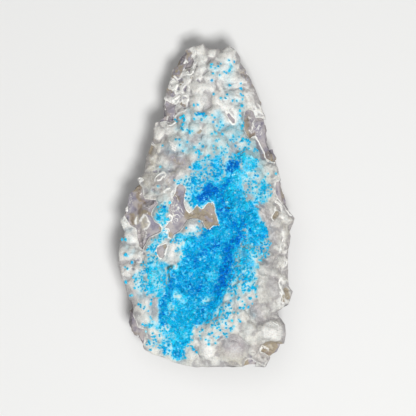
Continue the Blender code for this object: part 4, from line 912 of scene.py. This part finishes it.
def basalt_finish():
    """Mauve-grey and matt, freshly broken, with khaki patches, white flecks and faint agate bands."""
    finish = Finish("basalt")
    kept = finish.kept
    place = finish.place()
    cloud = finish.grain(place, 5.0, 5.0, 0.65)
    patch = finish.grain(place, 11.0, 3.0)
    streak = finish.grain(place, 2.2, 4.0, 0.7)
    grain = finish.grain(place, 0.9, 4.0, 0.65)
    flecks = finish.dots(place, 2.6)
    bands = (34.0 * finish.grain(place, 2.6, 1.0)).sine()
    colour = finish.layers(
        PALE_ROCK,
        (cloud.step(0.38, 0.68), MAUVE),
        (cloud.step(0.52, 0.75), DEEP_MAUVE),
        (patch.step(0.54, 0.66) * kept("outside") * 0.8, KHAKI),
        (kept("pale") * streak.step(0.3, 0.6) * 0.8, PALE_ROCK),
        (kept("khaki") * streak.step(0.25, 0.5), KHAKI),
        (kept("cream") * streak.step(0.3, 0.5) * 0.8, CREAM),
        (kept("pink") * 0.7, PINK_GREY),
        (kept("deep") * 0.6, DEEP_MAUVE),
        (kept("lilac") * 0.8, MAUVE),
        (grain.step(0.5, 0.8) * 0.4, PALE_ROCK),
        (kept("brown") * streak.step(0.3, 0.5), BROWN),
        (bands.step(0.55, 0.95) * kept("banded") * 0.75, WHITE),
        ((0.4 - streak).step(0.0, 0.08) * 0.5, DEEP_MAUVE),
        ((0.14 - flecks).step(0.0, 0.05) * cloud.step(0.4, 0.55), WHITE),
        (kept("white"), BRIGHT_WHITE),
    )
    return finish.done({
        "Base Color": colour,
        "Roughness": 0.65 + 0.3 * grain,
        "Specular IOR Level": 0.25,
        "Normal": finish.bump(grain + 0.5 * streak, 0.45),
    })


def pentagonite_finish():
    """Bright blue and glassy, deep in the thick sprays and pale at the tips."""
    finish = Finish("pentagonite")
    grain = finish.grain(finish.place(), 0.5, 2.0)
    tone = finish.kept("tone") + 0.2 * (grain - 0.5)
    colour = finish.layers(
        ROYAL,
        (tone.step(0.0, 0.5), AZURE),
        (tone.step(0.5, 1.0), SKY),
        (tone.step(1.0, 1.4), FROST),
        (finish.kept("thin") * 0.7, PEACOCK),
        (finish.kept("tip") * 0.2, SKY),
    )
    return finish.done({"Base Color": colour, "Roughness": 0.16 + 0.3 * grain, "Specular IOR Level": 0.12})


# The crust


def split_border(points, border, rock_tree):
    """The border's points, parted into those beside bare rock and those at the specimen's outline."""
    beside_rock = []
    outline = []
    step = 1.6
    for x, y, z in points[border]:
        around = ((math.cos(turn) * step, math.sin(turn) * step) for turn in np.arange(12) * math.tau / 12)
        spots = [under(rock_tree, x + dx, y + dy)[0] for dx, dy in around]
        falls_away = any(spot is None or z - spot.z > OUTLINE_FALL for spot in spots)
        (outline if falls_away else beside_rock).append((x, y, z))
    return beside_rock, outline


def crust_relief(points, rim):
    """Round lumps with smaller knobs and grains on them, and crinkles along the broken rim."""
    flat = points * (1, 1, 0)
    shifted = wavy(wavy(flat, 6.0, 1.3, 5), 2.2, 0.4, 7)
    blend = 0.38 + 0.1 * smooth((-22 - points[:, 1]) / 20)
    listed = domes(shifted, (*LUMPS, *KNOBS), LUMP_RISE, blend) - blend
    lumps = np.maximum(listed, knobs(shifted, KNOB_SIZE, KNOB_RISE, 21) - 0.6)
    calm = 1 - 0.7 * covered(shifted, SMOOTH, 2.4)
    patchy = np.clip(0.6 + 0.9 * rough(points, 5.0, 31), 0.15, 1.2) * calm
    grainy = np.clip(0.6 + 0.9 * rough(points, 4.0, 35), 0.2, 1.2) * (0.5 + 0.5 * calm)
    crumbs = CRUMB_RISE * patchy * knobs(wavy(flat, 2.4, 0.6, 33), CRUMB_SIZE, 1.0, 41)
    grains = GRAIN_RISE * grainy * knobs(wavy(flat, 1.2, 0.3, 37), GRAIN_SIZE, 1.0, 51)
    uneven = (0.20 * rough(flat, 2.6, 55) + 0.14 * rough(flat, 1.0, 57)) * (0.3 + 0.7 * calm)
    crinkle = np.abs(rough(wavy(points, 3.0, 1.2, 63) * (1, 0.6, 1), 1.15, 65))
    broken_rim = np.exp(-((rim / 4.8) ** 2)) * smooth((points[:, 0] - 4) / 8)
    return lumps + crumbs + grains + uneven - CRINKLE_DEPTH * broken_rim * calm * crinkle


def near_places(points):
    """The points shifted just enough to make the edges of small marks uneven."""
    return wavy(wavy(points, 1.6, 0.25, 75), 0.7, 0.12, 77)


def crust_levels(mesh, points, on_top, border, lace, rim):
    """The height of each point, and how far it lies below its wide and its close surroundings."""
    edges = read(mesh.edges, "vertices", 2, np.int32)
    held = np.where(on_top, 0.0, 1.0)
    level = soften(points[:, 2], edges, np.where(on_top & ~border, 0.0, 1.0), 30)
    relief = crust_relief(points, rim) * on_top
    relief -= soften(relief, edges, held, 150)
    level += relief * smooth(lace / 1.4) + 0.15 * on_top * np.exp(-((lace / 0.7) ** 2))
    near = near_places(points)
    pits = covered(near, (*PITS_TO_GREY, *PITS_TO_KHAKI, *SHADOWED_PITS), 0.6)
    level -= on_top * (PIT_DEPTH * pits + CREASE_DEPTH * covered(near, DARK_CREASES, 0.8))
    level = soften(level, edges, held, 1)
    return level, soften(level, edges, held, 70) - level, soften(level, edges, held, 8) - level


def flared(points, rim):
    """The points with a ragged edge, which stands out a little from the middle line."""
    worked = wavy(wavy(points, 2.4, 0.4, 81), 0.9, 0.12, 83)
    outwards = np.exp(-((rim / 2.5) ** 2)) * (0.9 + 0.5 * rough(points, 3.0, 85))
    from_spine = points[:, :2] - np.stack([np.zeros(len(points)), np.clip(points[:, 1], -58, 56)], axis=1)
    from_spine /= np.maximum(np.linalg.norm(from_spine, axis=1), 1)[:, None]
    worked[:, :2] += from_spine * outwards[:, None]
    return worked


def blue_share(points):
    """How much of the face the blue crystals cover at each point, from 0 to 1."""
    shifted = wavy(points, 5.0, 1.2, 151)
    share = painted(shifted, BLUE, 3.5) * (1 - painted(shifted, BARE_OF_BLUE, 2.4))
    patchy = 0.30 * rough(points, 2.6, 153) + 0.20 * rough(points, 6.0, 155)
    return np.clip(share + 4 * share * (1 - share) * patchy, 0, 1)


def mark_crust(mesh, points):
    """Keeps where the crust is tinted, pitted or curled, and where light and shade are painted on it."""
    shifted = wavy(wavy(points, 4.0, 0.9, 71), 1.2, 0.3, 73)
    near = near_places(points)
    for name, strokes, edge in (
        ("creamy", CREAMY, 3.0), ("pinkish", PINKISH, 2.4), ("lilac", LILAC_AND_SHADE, 3.0), ("icy", ICY, 5.0),
    ):
        store(mesh, name, covered(shifted, strokes, edge))
    for name, strokes, edge in (
        ("grey_pit", PITS_TO_GREY, 0.5), ("khaki_pit", PITS_TO_KHAKI, 0.5), ("pit_shadow", SHADOWED_PITS, 0.6),
        ("curl", [(1.3 * half_width, *path) for half_width, *path in LACE], 0.4),
    ):
        store(mesh, name, covered(near, strokes, edge))
    # Painted light: the crust is made brighter towards the tip and on the lower left, as if more light fell
    # there
    tip = 0.75 * smooth((points[:, 1] - 34) / 24)
    left = 0.5 * smooth((-26 - points[:, 0]) / 10) * smooth((-4 - points[:, 1]) / 8)
    store(mesh, "whiter_and_lit", np.maximum(covered(shifted, WHITER_AND_LIT, 2.4), np.maximum(tip, left)))
    # Painted shade: the crust turns greyer towards the right side, below the middle, as if less light fell
    # there; the greyer strokes add to it
    right = smooth((points[:, 0] - 20) / 10) * smooth((18 - points[:, 1]) / 16)
    store(mesh, "greyed_and_shaded", np.maximum(right, covered(shifted, GREYER, 3.0)))
    store(mesh, "halo", np.maximum(painted(shifted, BLUE, 16.0), painted(shifted, AQUA_TINT, 10.0)))
    store(mesh, "aqua", painted(shifted, AQUA_TINT, 3.4))
    store(mesh, "rocky", painted(near, ROCKY, 1.2))
    store(mesh, "blue", blue_share(points))


def make_crust(rock_tree):
    """The lumpy crust, with thin white edges where it has broken off."""
    crust = worked_copy("heulandite_crust", "heulandite_lining")
    cut_finely(crust, read(crust.data.polygons, "normal", 3)[:, 2] > TOP_SLOPE, TOP_CUTS)
    mesh = crust.data
    top = read(mesh.polygons, "normal", 3)[:, 2] > TOP_SLOPE
    on_top = points_in(mesh, top)
    border = on_top & points_in(mesh, ~top)
    points = points_of(mesh)
    beside_rock, outline = split_border(points, border, rock_tree)
    lace = distances(points, beside_rock)
    rim = distances(points, outline)
    level, hollow, crease = crust_levels(mesh, points, on_top, border, lace, rim)
    worked = flared(points, rim)
    worked[:, 2] = np.where(on_top, level, points[:, 2] - 0.4)
    set_points(mesh, worked)
    mark_crust(mesh, points)
    # Painted shade in the hollows and creases, and a painted highlight on the crests
    store(mesh, "hollow", smooth((hollow + 0.15 * rough(points, 2.0, 91)) / 1.0) * smooth(lace / 1.5))
    store(mesh, "crease", smooth((crease - 0.03) / 0.2) * smooth(lace / 1.2))
    store(mesh, "crest_highlight", smooth((-0.03 - crease) / 0.16))
    white_edge = smooth(1.5 - lace / (0.48 + 0.3 * rough(points, 2.0, 93)))
    dull = covered(points, DULL_EDGES, 1.5)
    store(mesh, "lace", np.where(on_top, white_edge, 1.0) * (1 - 0.85 * dull))
    pick(crust)
    bpy.ops.object.shade_smooth()
    mesh.materials.append(heulandite_finish())
    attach(crust, "root")
    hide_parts("heulandite_crust")
    return crust, beside_rock


# The white ridges


def through(path, step):
    """Points along a smooth curve through the path's points, a step apart."""
    knots = np.array([path[0], *path, path[-1]], dtype=float)
    curve = []
    for before, start, end, after in zip(knots, knots[1:], knots[2:], knots[3:]):
        for share in np.arange(0, 1, step / max(np.linalg.norm(end - start), step)):
            bend = 2 * start - 2 * end + (end - before + after - start) / 2
            rise = 3 * (end - start) - (end - before) - (after - start) / 2
            curve.append(start + share * (end - before) / 2 + share**2 * rise + share**3 * bend)
    return np.array([*curve, path[-1]])


def make_ridge(half_width, path, trees):
    """A thin white ridge over the higher of the surfaces, with uneven width and pointed ends."""
    line = through(path, 0.3)
    line = wavy(np.column_stack([line, np.zeros(len(line))]), 1.2, 0.36, 161)
    drawing = bpy.data.curves.new("ridge", "CURVE")
    drawing.dimensions = "3D"
    drawing.bevel_depth = half_width * MM
    drawing.bevel_resolution = 1
    drawing.use_fill_caps = True
    spline = drawing.splines.new("POLY")
    spline.points.add(len(line) - 1)
    widths = 0.85 + 0.65 * rough(line, 1.1, 163)
    # Past both surfaces a point keeps the height before it, and a line that starts there starts on the floor
    heights = [0.0]
    for index, (x, y, _) in enumerate(line):
        spots = [under(tree, x, y)[0] for tree in trees]
        heights = [spot.z + 0.25 * half_width for spot in spots if spot] or heights
        spline.points[index].co = (*((np.array((x, y, max(heights))) - READING) * MM), 1)
        taper = math.sin(math.pi * (index + 0.6) / (len(line) + 0.2)) ** 0.4
        spline.points[index].radius = widths[index] * taper
    pick(added("ridge", drawing))
    bpy.ops.object.convert(target="MESH")
    return bpy.context.active_object


def make_lace(trees):
    """The thin white ridges, where shells of the crust stand on edge."""
    lace = joined([make_ridge(half_width, path, trees) for half_width, *path in LACE])
    lace.name = "heulandite_lace"
    bpy.ops.object.shade_smooth()
    lace.data.materials.append(lace_finish())
    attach(lace, "root")


# The rock


def seen_faces(mesh, crust_tree):
    """Which faces of the rock show past the crust."""
    middles = read(mesh.polygons, "center", 3) / MM + READING
    seen = []
    for (x, y, z), normal in zip(middles, read(mesh.polygons, "normal", 3)):
        covered_over = crust_tree.ray_cast(Vector((x, y, z + 0.05)), Vector((0, 0, 1)))[0] is not None
        seen.append(not (normal[2] > 0.3 and covered_over))
    return np.array(seen)


def broken(points):
    """Relief of broken rock: facets at all angles, with grain on them."""
    relief = np.zeros(len(points))
    for size, slope, seed in ((8.0, 0.16, 101), (3.4, 0.14, 111)):
        _, home = cells(wavy(points, 3.0, 0.6, seed + 7), size, seed)
        offset = points / size - (home + 0.5)
        for axis in range(3):
            relief += slope * size * offset[:, axis] * (2 * chance(home, seed + 3 + axis) - 1)
    return relief + 0.14 * rough(points, 1.3, 121) + 0.08 * rough(points, 0.7, 123)


def window_rise(points, rims):
    """How far the rock comes up to the crust's edges, so that its windows are shallow."""
    tree = tree_of([(x, y, 0) for x, y, _ in rims])
    rise = np.zeros(len(points))
    for index, (x, y, z) in enumerate(points):
        found = tree.find_n((x, y, 0), 4)
        levels = [rims[number][2] for _, number, _ in found]
        level = np.average(levels, weights=[1 / (away + 0.5) for *_, away in found])
        gap = min(max(level - RIM_HEIGHT - z, 0), DEEPEST_RISE)
        rise[index] = gap * math.exp(-((found[0][2] / 5.0) ** 2))
    return rise


def refine_rock(rock, crust_tree):
    """Cuts the faces that show finer and finer, and leaves those under the crust coarse."""
    for longest in ROCK_EDGES:
        mesh = rock.data
        large = read(mesh.polygons, "area") / MM**2 > 0.43 * longest**2 * 0.6
        cut_finely(rock, seen_faces(mesh, crust_tree) & large, 1)
        bpy.ops.object.mode_set(mode="EDIT")
        bpy.ops.mesh.select_all(action="SELECT")
        bpy.ops.mesh.quads_convert_to_tris(quad_method="BEAUTY", ngon_method="BEAUTY")
        bpy.ops.object.mode_set(mode="OBJECT")


def mark_rock(mesh, points, on_face, facing_up):
    """Keeps where the rock is tinted, banded or pale."""
    near = wavy(wavy(points, 3.0, 0.8, 131), 1.0, 0.3, 133)
    for name, strokes, edge in (
        ("khaki", KHAKI_ROCK, 0.9), ("white", WHITE_ROCK, 0.4), ("cream", CREAM_ROCK, 1.2),
        ("pink", PINK_ROCK, 1.2), ("deep", DEEP_ROCK, 1.5), ("banded", BANDED_ROCK, 1.5),
        ("lilac", LILAC_ROCK, 0.9), ("brown", BROWN_ROCK, 1.2),
    ):
        store(mesh, name, covered(near, strokes, edge) * on_face)
    store(mesh, "outside", 1 - 0.8 * facing_up)
    store(mesh, "pale", smooth((points[:, 2] - 14) / 10) * (1 - facing_up))


def make_rock(crust_tree, window_rims):
    """The broken rock, fine where it shows and left coarse under the crust."""
    rock = worked_copy("basalt_matrix", "basalt_rock")
    refine_rock(rock, crust_tree)
    mesh = rock.data
    seen = points_in(mesh, seen_faces(mesh, crust_tree))
    points = points_of(mesh)
    normals = read(mesh.vertices, "normal", 3)
    facing_up = smooth((normals[:, 2] - 0.6) / 0.3)
    depth = np.where(seen, 1 - 0.65 * facing_up, 0) * smooth((points[:, 2] - ROCK_FOOT) / 2.5)
    worked = points + normals * ((broken(points) - 0.45 * (1 - facing_up)) * depth)[:, None]
    worked[:, 2] = np.maximum(worked[:, 2], 0)
    on_face = smooth((points[:, 2] - ROCK_FACE) / 3)
    worked[:, 2] += window_rise(points, window_rims) * on_face * np.where(seen, facing_up, 0)
    set_points(mesh, worked)
    mark_rock(mesh, points, on_face, facing_up)
    pick(rock)
    bpy.ops.object.shade_smooth_by_angle(angle=math.radians(35))
    rock.data.materials.append(basalt_finish())
    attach(rock, "root")
    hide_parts("basalt_matrix")
    return rock


# The crystals


def make_blade(width):
    """One crystal: a flat four-sided prism with a pointed end, one unit long, standing at the origin."""
    bpy.ops.object.select_all(action="DESELECT")
    bpy.ops.mesh.primitive_cylinder_add(vertices=4, radius=width, depth=0.78, location=(0, 0, 0.39))
    blade = bpy.context.active_object
    bpy.ops.object.mode_set(mode="EDIT")
    bpy.ops.transform.resize(value=(1.5, 0.8, 1))
    bpy.ops.object.mode_set(mode="OBJECT")
    select_faces(blade, [face.normal.z < -0.5 for face in blade.data.polygons])
    bpy.ops.mesh.delete(type="FACE")
    bpy.ops.object.mode_set(mode="OBJECT")
    select_faces(blade, [face.normal.z > 0.5 for face in blade.data.polygons])
    bpy.ops.mesh.poke(offset=0.22)
    bpy.ops.object.mode_set(mode="OBJECT")
    bpy.ops.object.transform_apply(location=True, rotation=True, scale=True)
    return blade


def make_spray(leans, width):
    """Points and faces of blades that fan out from one foot. Each lean is a tilt, a bearing and a length."""
    blade = make_blade(width)
    blades = []
    for tilt, bearing, length in leans:
        pick(blade)
        bpy.ops.object.duplicate()
        turn = Matrix.Rotation(math.radians(bearing), 4, "Z") @ Matrix.Rotation(math.radians(tilt), 4, "Y")
        blades.append(bpy.context.active_object)
        blades[-1].data.transform(turn @ Matrix.Diagonal((1, 1, length, 1)))
    bpy.data.objects.remove(blade)
    spray = joined(blades)
    spray.data.calc_loop_triangles()
    spots = np.array([vertex.co for vertex in spray.data.vertices])
    faces = np.array([triangle.vertices for triangle in spray.data.loop_triangles])
    bpy.data.objects.remove(spray)
    return spots, faces


def make_sprays():
    """Three full sprays of thin blades for the thick blue, and three of broad blades for single spots."""
    open_fan = [(8, 0, 1.0)] + [(38 + 9 * (k % 3), 60 * k, 0.95 - 0.1 * (k % 2)) for k in range(6)]
    wide_fan = [(4, 90, 0.9)] + [(58 + 8 * (k % 2), 72 * k + 20, 1.0 - 0.08 * (k % 3)) for k in range(5)]
    tuft = [(5, 40, 1.1)] + [(24 + 6 * (k % 2), 72 * k, 1.05 - 0.12 * (k % 2)) for k in range(5)]
    half_fan = [(18 + 13 * k, 34 * k - 68, 1.0 - 0.1 * (k % 2)) for k in range(5)]
    thin = [make_spray(leans, 0.11) for leans in (open_fan, wide_fan, tuft)]
    return thin + [make_spray(leans, 0.22) for leans in (half_fan, open_fan, wide_fan)]


def scatter(name, sprays, stands, finish, nodes):
    """One joined mesh. Each stand is a spot, a way up, a size, a tone, a thinness and a kind of spray."""
    all_spots, all_faces, tones, thins, tips = [], [], [], [], []
    draw = random.Random(len(stands))
    count = 0
    for spot, way, size, tone, thin, which in stands:
        spots, faces = sprays[which]
        turn = way.to_track_quat("Z", "Y").to_matrix() @ Matrix.Rotation(draw.uniform(0, math.tau), 3, "Z")
        stretch = np.array([size, size, size * draw.uniform(0.85, 1.2)])
        all_spots.append(spots * stretch @ np.array(turn).T + np.array(spot))
        all_faces.append(faces + count)
        count += len(spots)
        tones.append(np.full(len(spots), tone))
        thins.append(np.full(len(spots), thin))
        tips.append(np.linalg.norm(spots, axis=1))
    mesh = bpy.data.meshes.new(name)
    mesh.from_pydata((np.concatenate(all_spots) - READING) * MM, [], np.concatenate(all_faces))
    for kept, values in (("tone", tones), ("thin", thins), ("tip", tips)):
        store(mesh, kept, np.concatenate(values))
    mesh.materials.append(finish)
    piece = added(name, mesh)
    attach(piece, "root")
    for node in nodes:
        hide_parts(node)


def honeycomb(low, high, step, draw):
    """Jittered places on a honeycomb over a box."""
    row = 0
    y = low[1]
    while y < high[1]:
        x = low[0] + step * 0.5 * (row % 2)
        while x < high[0]:
            yield x + draw.uniform(-0.45, 0.45) * step, y + draw.uniform(-0.45, 0.45) * step, 0.0
            x += step
        y += step * 0.866
        row += 1


def leaning(normal, draw, reach):
    """A way up that strays from the normal at random."""
    return (normal + Vector((draw.uniform(-reach, reach), draw.uniform(-reach, reach), 0.25))).normalized()


def blue_tone(points):
    """How light the blue is at each point, from 0 to 1."""
    tone = 0.54 + 0.12 * rough(points, 5.0, 141) + 0.14 * rough(points, 1.6, 143)
    # Painted shade deepens the blue in the channels between lobes and painted light pales it on the lobes'
    # tops, besides its own deeper and paler patches
    return tone - painted(points, DEEP_BLUE_AND_SHADE, 2.6) + painted(points, PALE_BLUE_AND_LIT, 2.5)


def grow_sprays(draw, crust_tree, window_rims):
    """What stands where, sorted by the solid that it takes the place of."""
    low, high = (np.array(corner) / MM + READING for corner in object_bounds())
    places = np.array([*honeycomb(low, high, SPRAY_STEP, draw), *((x, y, 0.0) for x, y in STRAYS)])
    stray = np.arange(len(places)) >= len(places) - len(STRAYS)
    share = blue_share(places) * (1 - covered(places, (*SHADOWED_PITS, *PITS_TO_GREY), 0.6))
    share[stray] = np.maximum(share[stray], 0.5)
    rims = [(x, y, 0) for x, y, _ in window_rims]
    share *= smooth((distances(places, rims) - RIM_WIDTH) / 0.3 + 0.5)
    thick = smooth((share - 0.5) / 0.4)
    lone = np.where(stray, 1.0, smooth((0.16 - share) / 0.1))
    tones = blue_tone(places)
    druses = {node: tree_over(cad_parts[node].data) for node in DRUSES}
    stands = {node: [] for node in (*DRUSES, None)}
    for index, (x, y, _) in enumerate(places):
        odds = share[index] * (0.8 + 0.2 * thick[index] - 0.3 * lone[index])
        if not stray[index] and draw.random() > odds:
            continue
        spot, normal = under(crust_tree, x, y)
        if spot is None:
            continue
        home = next((node for node, tree in druses.items() if under(tree, x, y)[0] is not None), None)
        growth = SPRAY_SIZE + THICK_GROWTH * thick[index] + LONE_GROWTH * lone[index]
        size = growth * draw.uniform(0.65, 1.35)
        # A painted glint: a few sprays get a much paler tone
        glint = draw.uniform(0.3, 0.8) if draw.random() < GLINT_SHARE else 0
        tone = tones[index] + 0.1 * (1 - thick[index]) + draw.gauss(0, 0.13) + glint
        thin = (1 - thick[index]) * draw.uniform(0.0, 1.1)
        which = draw.randrange(3) if draw.random() < thick[index] else 3 + draw.randrange(3)
        stands[home].append((spot, leaning(normal, draw, 0.35), size, tone, thin, which))
    return stands


def make_crystals(crust_tree, window_rims):
    """All the blue crystals, thick on the three druses and scattered on the white between them."""
    finish = pentagonite_finish()
    sprays = make_sprays()
    stands = grow_sprays(random.Random(7), crust_tree, window_rims)
    for node, homed in stands.items():
        name = node.replace("pentagonite", "blue") if node else "blue_scattered"
        for part in range(0, len(homed), SPRAYS_A_PIECE):
            number = part // SPRAYS_A_PIECE + 1
            some = homed[part : part + SPRAYS_A_PIECE]
            scatter(f"{name}_{number}", sprays, some, finish, [node] if node else [])
    return [stand[0] for homed in stands.values() for stand in homed]


def tint_beside(crust, crystals):
    """Keeps how close the crust's points are to a blue crystal, for the faint blue around it."""
    away = distances(points_of(crust.data), crystals)
    store(crust.data, "beside_blue", smooth(1.25 - away / BLUE_REACH))


# The studio


def make_floor():
    """A plain pale floor, just under the specimen."""
    bpy.ops.object.select_all(action="DESELECT")
    bpy.ops.mesh.primitive_plane_add(size=4, location=(0, 0, -0.0002))
    floor = bpy.context.active_object
    floor.name = "studio_floor"
    floor.data.materials.append(Finish("studio_floor").done({"Base Color": FLOOR_GREY, "Roughness": 0.8}))
    floor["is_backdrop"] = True


def make_lights():
    """A soft light from beyond the foot, a wider one from beyond the tip, and a pale world. In metres."""
    world = bpy.data.worlds.new("studio")
    world.use_nodes = True
    background = world.node_tree.nodes["Background"]
    background.inputs["Color"].default_value = (1, 1, 1, 1)
    background.inputs["Strength"].default_value = 0.20
    bpy.context.scene.world = world
    aim = Vector((0, 0, 0.03))
    for name, place, size, power in (
        ("key", (0.24, -0.42, 1.38), 0.4, 19.0),
        ("fill", (-0.25, 0.45, 1.5), 1.2, 5.6),
    ):
        lamp = bpy.data.lights.new(name, "AREA")
        lamp.size = size
        lamp.energy = power
        light = added(name, lamp)
        light.location = place
        light.rotation_euler = (aim - Vector(place)).to_track_quat("-Z", "Y").to_euler()


def make_camera():
    """A camera that looks straight down on the face."""
    data = bpy.data.cameras.new("camera")
    data.sensor_width = SENSOR_WIDTH
    data.lens = SENSOR_WIDTH * CAMERA_ABOVE / PICTURE_WIDTH
    camera = added("camera", data)
    across, along = np.subtract(CAMERA_SPOT, READING[:2])
    camera.location = Vector((across, along, FACE_LEVEL + CAMERA_ABOVE)) * MM
    bpy.context.scene.camera = camera
    bpy.context.scene.view_settings.view_transform = "Standard"


def main():
    make_floor()
    make_lights()
    make_camera()
    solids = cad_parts
    crust, window_rims = make_crust(tree_over(solids["basalt_matrix"].data))
    rock = make_rock(tree_over(solids["heulandite_crust"].data), window_rims)
    crust_tree = tree_over(crust.data)
    make_lace((crust_tree, tree_over(rock.data)))
    tint_beside(crust, make_crystals(crust_tree, window_rims))


main()

boxes = {"cad": SOLID_BOX, "visual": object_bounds()}
{name: [list(corner) for corner in box] for name, box in boxes.items()}
